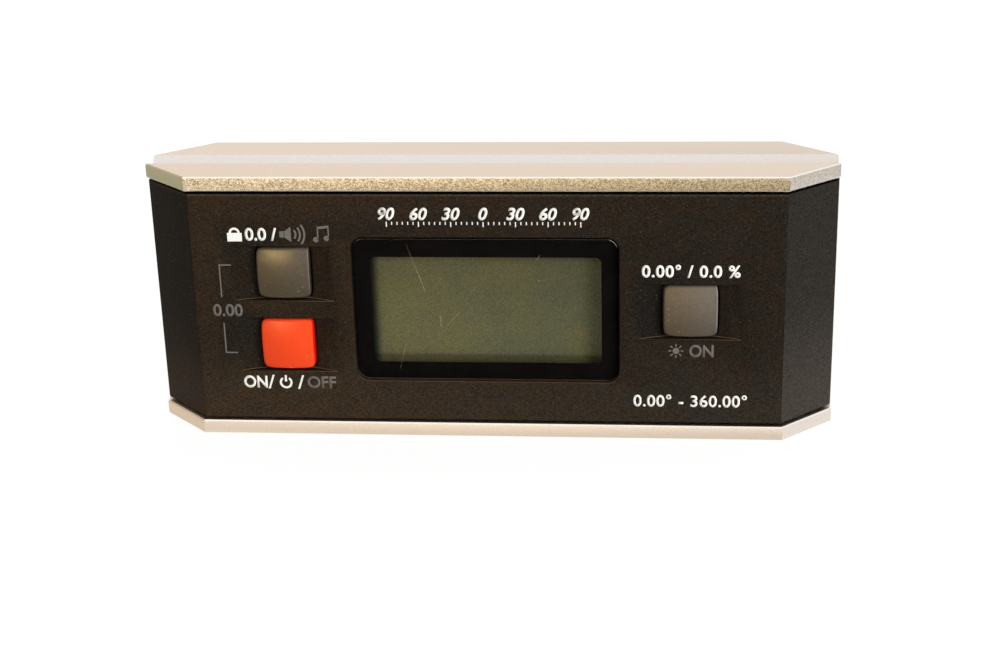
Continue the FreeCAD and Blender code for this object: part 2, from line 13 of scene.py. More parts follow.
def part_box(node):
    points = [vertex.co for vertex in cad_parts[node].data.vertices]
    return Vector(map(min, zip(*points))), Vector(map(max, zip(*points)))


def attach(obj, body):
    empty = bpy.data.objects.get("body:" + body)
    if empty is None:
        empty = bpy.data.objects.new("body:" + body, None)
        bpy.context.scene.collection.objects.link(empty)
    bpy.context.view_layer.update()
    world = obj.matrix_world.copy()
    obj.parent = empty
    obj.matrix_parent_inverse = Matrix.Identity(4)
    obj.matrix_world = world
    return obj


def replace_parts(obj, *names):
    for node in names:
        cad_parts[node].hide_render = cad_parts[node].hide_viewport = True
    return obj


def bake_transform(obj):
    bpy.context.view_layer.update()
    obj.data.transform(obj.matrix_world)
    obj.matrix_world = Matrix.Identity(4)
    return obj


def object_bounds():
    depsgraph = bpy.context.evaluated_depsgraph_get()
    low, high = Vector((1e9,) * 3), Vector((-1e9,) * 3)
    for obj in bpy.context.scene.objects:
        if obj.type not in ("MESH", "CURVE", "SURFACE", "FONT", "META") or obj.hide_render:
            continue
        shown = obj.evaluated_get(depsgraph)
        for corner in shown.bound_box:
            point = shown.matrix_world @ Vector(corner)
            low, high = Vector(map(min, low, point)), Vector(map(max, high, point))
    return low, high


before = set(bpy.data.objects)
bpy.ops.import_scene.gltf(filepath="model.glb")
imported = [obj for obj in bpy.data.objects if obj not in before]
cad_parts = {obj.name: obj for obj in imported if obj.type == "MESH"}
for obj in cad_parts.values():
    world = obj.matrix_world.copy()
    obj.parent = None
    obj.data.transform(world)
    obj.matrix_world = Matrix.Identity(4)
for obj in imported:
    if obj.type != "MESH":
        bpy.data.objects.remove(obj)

CAD_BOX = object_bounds()

bl_info = {
    "name": "Digital protractor",
    "version": (1, 0, 0),
    "blender": (4, 5, 0),
    "location": "View3D > Sidebar > Protractor",
    "description": "Builds the finishes, caps, window and printed signs of a pocket digital protractor",
    "category": "Object",
}

MM = 0.001
WHITE = (1.0, 1.0, 1.0)
ORIGIN = (0.0, 0.0, 0.0)
HOUSING = "housing"
BUTTONS = {
    "hold_button": "hold_key",
    "power_button": "power_key",
    "units_button": "units_key",
}

# The camera that took the photograph, worked out from the object's corners
CAMERA_PLACE = (39.04 * MM, -367.18 * MM, 155.48 * MM)
CAMERA_YAW = math.radians(5.836)
CAMERA_PITCH = math.radians(20.284)
CAMERA_ROLL = math.radians(-1.557)
CAMERA_FOCUS_SHARE = 1.7567
SENSOR_WIDTH = 36.0

# Floor and light
FLOOR_Z = -0.05 * MM
FLOOR_SHADOW = 0.15
FLOOR_WHITE = 1.07
WORLD_LIGHT = 0.42

# Lamps: name, place, width, height, power in watts, colour, and whether only reflections show it;
# each looks at the middle of the object. The others show in no reflection.
LAMPS = (
    ("Top softbox", (0.0, 0.2, 1.1), 0.9, 0.9, 4.0, WHITE, False),
    ("Right softbox", (0.75, -0.62, 0.3), 0.5, 0.5, 9.0, (1.0, 0.98, 0.95), False),
    ("Back softbox", (-0.2, 0.95, 0.35), 0.6, 0.6, 6.0, (1.0, 0.98, 0.95), False),
    ("Warm window", (-0.34, -0.86, 0.128), 0.36, 0.12, 3.4, (1.0, 0.9, 0.72), True),
)

# Cap holes in the front shell, and the stop flange round the back of each cap
HOLE_HALF_SIZE = 6.17 * MM
HOLE_DEPTH = 1.8 * MM
FLANGE_WIDTH = 1.1 * MM
FLANGE_THICKNESS = 0.9 * MM

# Border of the window
BORDER_WIDTH = 3.45 * MM
BORDER_LOW = 3.6 * MM
BORDER_GAP = 0.03 * MM

# Places of the signs on the front face, from the middle of the base
SCALE_Z = 50.2 * MM
SCALE_HALF_WIDTH = 20.6 * MM
SCALE_FIGURE_HEIGHT = 2.8 * MM
SIGN_HEIGHT = 2.9 * MM
HOLD_SIGN_Z = 46.2 * MM
POWER_SIGN_Z = 12.25 * MM
UNITS_SIGN_Z = 38.35 * MM
LAMP_SIGN_Z = 20.4 * MM
RANGE_SIGN = (43.8 * MM, 8.85 * MM)
ZERO_SIGN = (-56.4 * MM, 28.95 * MM)
BRACKET_X = -57.5 * MM
BRACKET_ARM = 2.6 * MM
BRACKET_UPPER = (31.96 * MM, 39.26 * MM)
BRACKET_LOWER = (19.1 * MM, 25.95 * MM)

# Hairlines on the window: start x and z, end x and z from its middle, and half width, in millimetres
WINDOW_SCRATCHES = (
    (-12.95, 4.4, -16.8, 15.4, 0.062),
    (-9.9, -1.5, -9.8, -3.3, 0.12),
    (-9.8, -3.3, -9.5, -3.9, 0.1),
    (-17.6, -7.8, -19.2, -13.9, 0.05),
    (-5.6, -0.3, -9.8, -5.0, 0.045),
    (-2.6, 4.6, -3.7, 3.4, 0.06),
    (11.4, 7.0, 13.1, 6.4, 0.06),
    (11.9, 12.6, 9.2, 8.6, 0.045),
)


def srgb(red, green, blue):
    """Linear colour of a display colour given from 0 to 255."""
    channels = np.array([red, green, blue]) / 255
    linear = np.where(channels <= 0.04045, channels / 12.92, ((channels + 0.055) / 1.055) ** 2.4)
    return tuple(float(channel) for channel in linear)


def length_setting(name, description, value):
    """A size that the sidebar shows as a length."""
    return bpy.props.FloatProperty(
        name=name, description=description, default=value, min=0.0, precision=5,
        subtype="DISTANCE", unit="LENGTH",
    )


def colour_setting(name, description, value):
    """A colour that the sidebar shows as a swatch."""
    return bpy.props.FloatVectorProperty(
        name=name, description=description, default=value, size=3, min=0.0, max=1.0, subtype="COLOR",
    )


class ProtractorSizes(bpy.types.PropertyGroup):
    """Sizes of what is added over the solids."""

    rail_bevel: length_setting("Rail bevel", "Worn bevel on the rails' sharp edges", 0.2 * MM)
    shell_bevel: length_setting("Shell bevel", "Moulded radius on the shells' sharp edges", 0.15 * MM)
    cap_edge: length_setting("Cap edge", "Radius round the front of each button cap", 0.5 * MM)
    cap_crown: length_setting("Cap crown", "How far a cap's middle stands over its sides", 0.72 * MM)
    print_thickness: length_setting("Print thickness", "Thickness of the printed ink", 0.02 * MM)
    line_width: length_setting("Line width", "Width of the printed bracket lines", 0.3 * MM)


class ProtractorColours(bpy.types.PropertyGroup):
    """Colours of the finishes."""

    machined: colour_setting("Machined flats", "Milled aluminium of the rails", srgb(228, 209, 190))
    blasted: colour_setting("Blasted sides", "Blasted and anodised fronts of the rails", srgb(168, 153, 129))
    shell: colour_setting("Shell", "Dark coat of the shells", srgb(48, 39, 29))
    # Painted highlight on upward shell edges, and wear on the edges of the back
    worn: colour_setting("Edge highlight and wear", "Upward shell edges with a painted highlight, and edges where the coat has thinned", srgb(122, 98, 72))
    grey_cap: colour_setting("Grey caps", "Hold and units buttons", srgb(71, 62, 51))
    red_cap: colour_setting("Red cap", "Power button", srgb(241, 71, 31))
    white_print: colour_setting("White print", "Bright printed signs", srgb(246, 243, 236))
    grey_print: colour_setting("Grey print", "Dim printed signs", srgb(102, 95, 90))
    panel: colour_setting("Panel", "Blank liquid crystal panel", srgb(90, 88, 61))
    mask: colour_setting("Window border", "Black border behind the window", srgb(16, 14, 13))
    floor: colour_setting("Floor", "Pale floor", (0.8, 0.8, 0.8))


def sizes():
    """The size settings of this scene."""
    return bpy.context.scene.protractor_sizes


def colours():
    """The colour settings of this scene."""
    return bpy.context.scene.protractor_colours


# Shader helpers

def feed(tree, node, inputs):
    """Set or link inputs of a node by name or number."""
    for key, value in inputs.items():
        if isinstance(value, bpy.types.NodeSocket):
            tree.links.new(value, node.inputs[key])
        else:
            node.inputs[key].default_value = value


def add(tree, kind, inputs=None, **settings):
    """Add a shader node, set its options, and set or link its inputs."""
    made = tree.nodes.new(kind)
    for key, value in settings.items():
        setattr(made, key, value)
    feed(tree, made, inputs or {})
    return made


def maths(tree, operation, first, second=0.0, third=0.0, clamp=False):
    """Output of a Math node."""
    made = add(tree, "ShaderNodeMath", {0: first, 1: second, 2: third}, operation=operation, use_clamp=clamp)
    return made.outputs[0]


def times(tree, first, second):
    """Product of two values."""
    return maths(tree, "MULTIPLY", first, second)


def scaled(tree, value, factor, shift):
    """Value times a factor, plus a shift."""
    return maths(tree, "MULTIPLY_ADD", value, factor, shift)


def most(tree, first, second):
    """Larger of two values."""
    return maths(tree, "MAXIMUM", first, second)


def size_of(tree, value):
    """Value without its sign."""
    return maths(tree, "ABSOLUTE", value)


def axes(tree, vector):
    """X, Y and Z parts of a vector."""
    return add(tree, "ShaderNodeSeparateXYZ", {0: vector}).outputs


def soft_step(tree, value, low, high):
    """0 below low, 1 above high, smooth between."""
    made = add(
        tree, "ShaderNodeMapRange",
        {"Value": value, "From Min": low, "From Max": high, "To Min": 0.0, "To Max": 1.0},
        interpolation_type="SMOOTHSTEP",
    )
    return made.outputs["Result"]


def blend_colour(tree, factor, first, second, mode="MIX"):
    """Colour mix; first and second are colours of three numbers or sockets."""
    made = add(tree, "ShaderNodeMix", {0: factor}, data_type="RGBA", blend_type=mode)
    for key, value in ((6, first), (7, second)):
        feed(tree, made, {key: value if isinstance(value, bpy.types.NodeSocket) else (*value, 1.0)})
    return made.outputs[2]


def new_group(name, inputs, outputs):
    """Node group with named inputs, vectors or numbers, and number outputs, and its two end nodes."""
    group = bpy.data.node_groups.new(name, "ShaderNodeTree")
    for label, value in inputs.items():
        kind = "NodeSocketVector" if isinstance(value, tuple) else "NodeSocketFloat"
        group.interface.new_socket(name=label, in_out="INPUT", socket_type=kind).default_value = value
    for label in outputs:
        group.interface.new_socket(name=label, in_out="OUTPUT", socket_type="NodeSocketFloat")
    return group, group.nodes.new("NodeGroupInput"), group.nodes.new("NodeGroupOutput")


def grain_group():
    """Fine grain: small cells, each of its own lightness, over noise of the same size."""
    name = "Fine grain"
    if name in bpy.data.node_groups:
        return bpy.data.node_groups[name]
    group, start, end = new_group(
        name, {"Vector": ORIGIN, "Grain Size": 0.0003, "Contrast": 1.0},
        ("Value", "Height"),
    )
    scale = maths(group, "DIVIDE", 1.0, start.outputs["Grain Size"])
    noise = add(group, "ShaderNodeTexNoise", {
        "Vector": start.outputs["Vector"], "Scale": scale, "Detail": 1.0, "Roughness": 0.7,
    })
    cells = add(group, "ShaderNodeTexVoronoi", {"Vector": start.outputs["Vector"], "Scale": scale})
    lightness = add(group, "ShaderNodeSeparateColor", {"Color": cells.outputs["Color"]}).outputs[0]
    mixed = scaled(group, lightness, 0.7, times(group, noise.outputs[0], 0.3))
    spread = times(group, maths(group, "SUBTRACT", mixed, 0.5), start.outputs["Contrast"])
    value = maths(group, "ADD", spread, 0.5, clamp=True)
    group.links.new(value, end.inputs["Value"])
    group.links.new(mixed, end.inputs["Height"])
    return group


def specks_group():
    """Sparse round specks of random size, with a random tone for each."""
    name = "Sparse specks"
    if name in bpy.data.node_groups:
        return bpy.data.node_groups[name]
    group, start, end = new_group(
        name, {"Vector": ORIGIN, "Cell Size": 0.001, "Share": 0.1, "Radius": 0.12},
        ("Mask", "Tone"),
    )
    scale = maths(group, "DIVIDE", 1.0, start.outputs["Cell Size"])
    cells = add(group, "ShaderNodeTexVoronoi", {"Vector": start.outputs["Vector"], "Scale": scale})
    pick = add(group, "ShaderNodeSeparateColor", {"Color": cells.outputs["Color"]})
    kept = maths(group, "LESS_THAN", pick.outputs[0], start.outputs["Share"])
    radius = times(group, start.outputs["Radius"], maths(group, "ADD", pick.outputs[1], 0.3))
    inside = maths(group, "LESS_THAN", cells.outputs["Distance"], radius)
    mask = times(group, kept, inside)
    group.links.new(mask, end.inputs["Mask"])
    group.links.new(pick.outputs[2], end.inputs["Tone"])
    return group


def scratch_group():
    """Mask of one straight hairline: 1 near the line from Start to End, seen along Y, and 0 elsewhere."""
    name = "Hairline scratch"
    if name in bpy.data.node_groups:
        return bpy.data.node_groups[name]
    group, start, end = new_group(
        name, {"Vector": ORIGIN, "Start": ORIGIN, "End": (0.0, 0.0, 0.01), "Width": 0.00005},
        ("Mask",),
    )

    def vector(operation, first, second):
        return add(group, "ShaderNodeVectorMath", {0: first, 1: second}, operation=operation).outputs

    flat = vector("MULTIPLY", start.outputs["Vector"], (1.0, 0.0, 1.0))[0]
    away = vector("SUBTRACT", flat, start.outputs["Start"])[0]
    run = vector("SUBTRACT", start.outputs["End"], start.outputs["Start"])[0]
    square = vector("DOT_PRODUCT", run, run)[1]
    along = maths(group, "DIVIDE", vector("DOT_PRODUCT", away, run)[1], square, clamp=True)
    foot = add(group, "ShaderNodeVectorMath", {0: run, 3: along}, operation="SCALE").outputs[0]
    gap = vector("LENGTH", vector("SUBTRACT", away, foot)[0], ORIGIN)[1]
    thin = times(group, start.outputs["Width"], maths(group, "SUBTRACT", 1.1, along))
    mask = maths(group, "LESS_THAN", gap, thin)
    group.links.new(mask, end.inputs["Mask"])
    return group


def square_group():
    """Mask of a square with soft corners in XZ round a middle: 1 inside, 0 outside.

    Its outline is a superellipse of power 7.
    """
    name = "Soft square mask"
    if name in bpy.data.node_groups:
        return bpy.data.node_groups[name]
    group, start, end = new_group(
        name, {"Vector": ORIGIN, "Middle": ORIGIN, "Half Size": 0.006},
        ("Mask",),
    )
    away = add(
        group, "ShaderNodeVectorMath", {0: start.outputs["Vector"], 1: start.outputs["Middle"]},
        operation="SUBTRACT",
    ).outputs[0]
    parts = add(group, "ShaderNodeSeparateXYZ", {0: away})
    reach = None
    for axis in ("X", "Z"):
        share = maths(group, "DIVIDE", size_of(group, parts.outputs[axis]), start.outputs["Half Size"])
        power = maths(group, "POWER", share, 7.0)
        reach = power if reach is None else maths(group, "ADD", reach, power)
    mask = maths(group, "LESS_THAN", reach, 1.0)
    group.links.new(mask, end.inputs["Mask"])
    return group


def use_group(tree, group, inputs):
    """Place a node group in a material."""
    return add(tree, "ShaderNodeGroup", inputs, node_tree=group)


def new_material(name):
    """Material with a Principled shader; gives the material, its tree, the shader and object coordinates."""
    material = bpy.data.materials.new(name)
    material.use_nodes = True
    tree = material.node_tree
    tree.nodes.clear()
    shader = tree.nodes.new("ShaderNodeBsdfPrincipled")
    output = tree.nodes.new("ShaderNodeOutputMaterial")
    tree.links.new(shader.outputs[0], output.inputs[0])
    place = add(tree, "ShaderNodeTexCoord").outputs["Object"]
    return material, tree, shader, place


def link(tree, value, socket):
    """Link an output to an input."""
    tree.links.new(value, socket)


def bump(tree, shader, height, strength, distance):
    """Feed a height into the shader's normal."""
    made = add(tree, "ShaderNodeBump", {"Height": height, "Strength": strength, "Distance": distance})
    link(tree, made.outputs[0], shader.inputs["Normal"])


# Finishes

def surface_facing(tree):
    """Parts of the surface's own normal, in the object's axes."""
    return add(tree, "ShaderNodeSeparateXYZ", {0: add(tree, "ShaderNodeTexCoord").outputs["Normal"]}).outputs


def grain(tree, place, size, contrast):
    """Outputs of the fine grain group at one size and contrast."""
    return use_group(tree, grain_group(), {"Vector": place, "Grain Size": size, "Contrast": contrast}).outputs


def toned(tree, value, colour, spread):
    """The colour, darkened and lightened by a share as the value goes from 0 to 1."""
    dark = tuple(channel * (1 - spread) for channel in colour)
    light = tuple(min(1.0, channel * (1 + spread)) for channel in colour)
    return blend_colour(tree, value, dark, light)


def multiply(tree, first, second):
    """Product of two colours."""
    return blend_colour(tree, 1.0, first, second, "MULTIPLY")


def tinted(tree, body, factor, first, second):
    """The body's colour times a blend of two tints."""
    return multiply(tree, body, blend_colour(tree, factor, first, second))


def rail_aluminium():
    """Aluminium with smooth warm flats and blasted upright sides.

    The side's tint follows the way it faces: golden to the front and back, its blasted finish, then
    grey-green to the left as painted shade and silvery grey to the right as painted light, and pale low
    down as painted light from the table. The grain fades there too. The blasted fronts carry painted light,
    lighter to the left and darker to the right, and the outer bevels a painted highlight.
    """
    material, tree, shader, place = new_material("Rail aluminium")
    facing = surface_facing(tree)
    spot = axes(tree, place)
    level = size_of(tree, facing["Z"])
    sloping = soft_step(tree, maths(tree, "SUBTRACT", 1.0, level), 0.05, 0.25)
    side = soft_step(tree, maths(tree, "SUBTRACT", 1.0, level), 0.55, 0.95)
    ended = soft_step(tree, size_of(tree, facing["X"]), 0.15, 0.6)
    to_right = soft_step(tree, facing["X"], -0.1, 0.1)
    low_down = soft_step(tree, spot["Z"], 20 * MM, 6 * MM)

    # Painted shade on the ends that face left, painted light on the ends that face right
    painted_end_light = blend_colour(tree, to_right, srgb(160, 154, 122), srgb(198, 190, 182))
    tint = blend_colour(tree, ended, colours().blasted, painted_end_light)
    # Painted light from the table on the low part of the sides, with the same painted end light
    painted_low_end_light = blend_colour(tree, to_right, srgb(212, 192, 170), srgb(231, 221, 211))
    painted_low_light = blend_colour(tree, ended, srgb(207, 192, 177), painted_low_end_light)
    tint = blend_colour(tree, low_down, tint, painted_low_light)
    coarse = grain(tree, place, 0.19 * MM, 1.9)
    grained = blend_colour(tree, coarse["Value"], (0.5, 0.46, 0.36), (1.5, 1.48, 1.42))
    end_calm = scaled(tree, to_right, -0.3, 0.85)
    calm = most(tree, times(tree, ended, end_calm), times(tree, low_down, 0.92))
    grained = blend_colour(tree, calm, grained, WHITE)
    # Painted light along the rails: the blasted sides lighter to the left, darker to the right
    along = soft_step(tree, spot["X"], -65 * MM, 52 * MM)
    painted_light_along = blend_colour(tree, along, (1.17, 1.2, 1.28), (0.9, 0.91, 0.89))
    plain = most(tree, ended, low_down)
    tint = tinted(tree, tint, plain, painted_light_along, WHITE)
    blasted = multiply(tree, tint, grained)

    fine = grain(tree, place, 0.3 * MM, 0.8)
    soft = blend_colour(tree, fine["Value"], (0.95, 0.95, 0.94), (1.05, 1.05, 1.05))
    outer = soft_step(tree, size_of(tree, spot["Y"]), 8 * MM, 9 * MM)
    past_groove = soft_step(tree, size_of(tree, spot["Y"]), 3.7 * MM, 4.2 * MM)
    turned = soft_step(tree, size_of(tree, facing["X"]), 0.1, 0.2)
    outer = most(tree, outer, times(tree, turned, past_groove))
    nearly_level = soft_step(tree, level, 0.72, 0.92)
    # Painted highlight on the outer bevels, white where they slope; painted shade on bevels facing left
    painted_edge_highlight = blend_colour(tree, nearly_level, srgb(255, 251, 238), srgb(229, 222, 226))
    painted_edge_highlight = blend_colour(tree, soft_step(tree, facing["X"], 0.1, 0.4), painted_edge_highlight, srgb(244, 240, 238))
    painted_left_bevel_shade = soft_step(tree, facing["X"], -0.1, -0.4)
    painted_edge_highlight = blend_colour(tree, painted_left_bevel_shade, painted_edge_highlight, srgb(186, 164, 134))
    slope_and_edge_highlight = blend_colour(tree, outer, srgb(232, 225, 220), painted_edge_highlight)
    flat = blend_colour(tree, sloping, colours().machined, slope_and_edge_highlight)
    flat = multiply(tree, flat, soft)
    link(tree, blend_colour(tree, side, flat, blasted), shader.inputs["Base Color"])
    shader.inputs["Metallic"].default_value = 1.0
    link(tree, scaled(tree, side, 0.12, 0.36), shader.inputs["Roughness"])
    relief = times(tree, side, maths(tree, "SUBTRACT", 1.0, calm))
    height = times(tree, coarse["Height"], scaled(tree, relief, 0.9, 0.1))
    bump(tree, shader, height, 0.4, 0.00006)
    return material


def cap_holes(tree, place):
    """Mask of the deep walls round the three caps, which take a near-black painted shadow."""
    face_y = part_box("front_shell")[0].y
    holes = None
    for button in BUTTONS:
        middle = box_middle(button)
        mask = use_group(tree, square_group(), {
            "Vector": place, "Middle": (middle.x, 0.0, middle.z), "Half Size": HOLE_HALF_SIZE,
        }).outputs["Mask"]
        holes = mask if holes is None else most(tree, holes, mask)
    depth = axes(tree, place)["Y"]
    deep = soft_step(tree, depth, face_y + HOLE_DEPTH, face_y + HOLE_DEPTH + 0.2 * MM)
    in_front = maths(tree, "LESS_THAN", depth, 0.0)
    return times(tree, times(tree, holes, deep), in_front)


def shell_coat(name, ledge, wear):
    """Dark satin coat with fine grain, faint mottling and a few dust specks.

    It is painted warmer and lighter to the left and paler low down, as painted light. Faces that turn
    right take a painted shade, cooler and darker; the corner that faces right has a painted silvery sheen
    and the one that faces left a painted shade. Ledges that face upward take the ledge colour, less so
    near the top and by the window; on the edge material this is a painted highlight. On the back all edges
    take a share of it, the wear. A band under the rails is painted lighter, its upward faces are painted
    black as shadow, and the walls of the cap holes take a near-black painted shadow.
    """
    material, tree, shader, place = new_material(name)
    spot = axes(tree, place)
    facing = surface_facing(tree)
    fine = grain(tree, place, 0.22 * MM, 1.3)
    body = toned(tree, fine["Value"], colours().shell, 0.5)
    cloud = add(tree, "ShaderNodeTexNoise", {"Vector": place, "Scale": 260.0, "Detail": 2.0}).outputs[0]
    mottle = blend_colour(tree, soft_step(tree, cloud, 0.3, 0.7), (0.93, 1.0, 1.1), (1.08, 1.0, 0.92))
    body = multiply(tree, body, mottle)
    # Painted light: warmer and lighter to the left, darker and cooler to the right
    along = soft_step(tree, spot["X"], -60 * MM, 60 * MM)
    body = tinted(tree, body, along, (0.95, 0.9, 0.84), (0.65, 0.71, 0.8))
    # Painted light: paler low down
    upward = soft_step(tree, spot["Z"], 5 * MM, 24 * MM)
    body = tinted(tree, body, upward, (1.5, 1.56, 1.62), WHITE)
    # Painted shade on faces that turn right
    right_facing_shade = soft_step(tree, facing["X"], 0.04, 0.3)
    body = tinted(tree, body, right_facing_shade, WHITE, (0.6, 0.74, 0.92))
    # Upward ledges take the ledge colour: a painted highlight on the edge material
    raised = soft_step(tree, facing["Z"], 0.2, 0.5)
    near_top = soft_step(tree, spot["Z"], 48 * MM, 50 * MM)
    raised = times(tree, raised, scaled(tree, near_top, -0.75, 1.0))
    by_window = soft_step(tree, size_of(tree, spot["X"]), 30 * MM, 29 * MM)
    raised = times(tree, raised, scaled(tree, by_window, -0.55, 1.0))
    # Painted light on the band just under the rails
    top_edge = soft_step(tree, spot["Z"], 54.5 * MM, 54.8 * MM)
    body = tinted(tree, body, top_edge, WHITE, (2.1, 2.1, 2.1))
    behind = times(tree, maths(tree, "GREATER_THAN", spot["Y"], 0.0), wear)
    body = blend_colour(tree, most(tree, raised, behind), body, ledge)

    # Painted shade on the corner that faces left, painted sheen on the corner that faces right
    at_ends = soft_step(tree, size_of(tree, spot["X"]), 60 * MM, 61 * MM)
    to_left = times(tree, soft_step(tree, facing["X"], -0.35, -0.65), at_ends)
    to_right = times(tree, soft_step(tree, facing["X"], 0.35, 0.65), at_ends)
    height = soft_step(tree, spot["Z"], 4 * MM, 34 * MM)
    left_shade = blend_colour(tree, height, (0.98, 0.95, 1.02), (0.46, 0.49, 0.47))
    body = tinted(tree, body, to_left, WHITE, left_shade)
    painted_right_sheen = blend_colour(tree, fine["Value"], srgb(45, 42, 38), srgb(73, 68, 63))
    painted_right_sheen = tinted(tree, painted_right_sheen, height, (0.92, 0.9, 0.9), (0.45, 0.46, 0.45))
    body = blend_colour(tree, to_right, body, painted_right_sheen)
    specks = use_group(tree, specks_group(), {
        "Vector": place, "Cell Size": 0.7 * MM, "Share": 0.55, "Radius": 0.13,
    }).outputs
    dust = blend_colour(tree, specks["Tone"], srgb(140, 100, 60), srgb(96, 104, 98))
    body = blend_colour(tree, times(tree, specks["Mask"], 0.55), body, dust)
    # Painted shadow: near black on the walls of the cap holes
    body = blend_colour(tree, cap_holes(tree, place), body, (0.001, 0.001, 0.001))
    # Painted shadow: black on upward faces in the gap under the rails
    painted_gap_shadow = times(tree, top_edge, soft_step(tree, facing["Z"], 0.2, 0.4))
    body = blend_colour(tree, painted_gap_shadow, body, (0.001, 0.001, 0.001))
    link(tree, body, shader.inputs["Base Color"])
    link(tree, scaled(tree, fine["Value"], 0.14, 0.4), shader.inputs["Roughness"])
    shader.inputs["Specular IOR Level"].default_value = 0.015
    bump(tree, shader, fine["Height"], 0.3, 0.00003)
    return material


def cap_plastic(name, colour, painted_side_tint, spread, shading, gloss, painted_rim_tone, painted_wall_shade):
    """Satin moulded cap with a very fine grain and a little dust.

    Its crown is painted darker and warmer where it turns left, and paler and cooler, by the share given,
    where it turns right, as painted light. The shading says how much painted shade darkens it where it
    turns down, and painted light brightens it where it turns up. Its right rim and its right wall are
    multiplied by the two painted tones given: a lighter rim on the grey caps, a darker rim on the red one,
    and a darker wall on both. A cap to the right of the window is painted paler, as painted light, and
    is rougher than one to its left.
    """
    material, tree, shader, place = new_material(name)
    fine = grain(tree, place, 0.2 * MM, 1.1)
    body = toned(tree, fine["Value"], colour, spread)
    facing = surface_facing(tree)
    # Painted light: warmer where the crown turns left, cooler and paler where it turns right
    warm = (1 - 0.4 * painted_side_tint, 1 - 0.8 * painted_side_tint, 1 - 1.3 * painted_side_tint)
    cool = (1 + 0.5 * painted_side_tint, 1 + painted_side_tint, 1 + 2.1 * painted_side_tint)
    turned = soft_step(tree, facing["X"], -0.25, 0.25)
    body = tinted(tree, body, turned, warm, cool)
    # Painted shade where the crown turns down, painted light where it turns up
    upturned = soft_step(tree, facing["Z"], -0.26, 0.26)
    dark = 1 - shading
    light = 1 + 0.9 * shading
    body = tinted(tree, body, upturned, (dark, dark, dark), (light, light, light))
    # Painted tones on the right rim and wall: a lighter rim on grey caps, darker rim and walls otherwise
    rim = soft_step(tree, facing["X"], 0.62, 0.8)
    wall = soft_step(tree, facing["X"], 0.9, 0.98)
    edge = blend_colour(tree, wall, painted_rim_tone, painted_wall_shade)
    body = tinted(tree, body, rim, WHITE, edge)
    # Painted light: a cap right of the window is paler; its roughness rises there too
    across = axes(tree, place)["X"]
    right = soft_step(tree, across, -20 * MM, 20 * MM)
    body = tinted(tree, body, right, WHITE, (1.48, 1.55, 1.68))
    specks = use_group(tree, specks_group(), {
        "Vector": place, "Cell Size": 0.75 * MM, "Share": 0.4, "Radius": 0.13,
    }).outputs
    dust = blend_colour(tree, specks["Tone"], srgb(200, 140, 86), srgb(190, 188, 176))
    body = blend_colour(tree, times(tree, specks["Mask"], 0.55), body, dust)
    link(tree, body, shader.inputs["Base Color"])
    rough = scaled(tree, fine["Value"], 0.12, 0.26)
    link(tree, scaled(tree, right, 0.26, rough), shader.inputs["Roughness"])
    shader.inputs["Specular IOR Level"].default_value = gloss
    shader.inputs["Specular Tint"].default_value = (1.0, 0.77, 0.36, 1.0)
    bump(tree, shader, fine["Height"], 0.2, 0.00002)
    return material


def printed_ink(name, colour):
    """Screen-printed ink, slightly uneven."""
    material, tree, shader, place = new_material(name)
    fine = grain(tree, place, 0.25 * MM, 1.0)
    link(tree, toned(tree, fine["Value"], colour, 0.1), shader.inputs["Base Color"])
    shader.inputs["Roughness"].default_value = 0.55
    shader.inputs["Specular IOR Level"].default_value = 0.3
    bump(tree, shader, fine["Height"], 0.1, 0.00001)
    return material


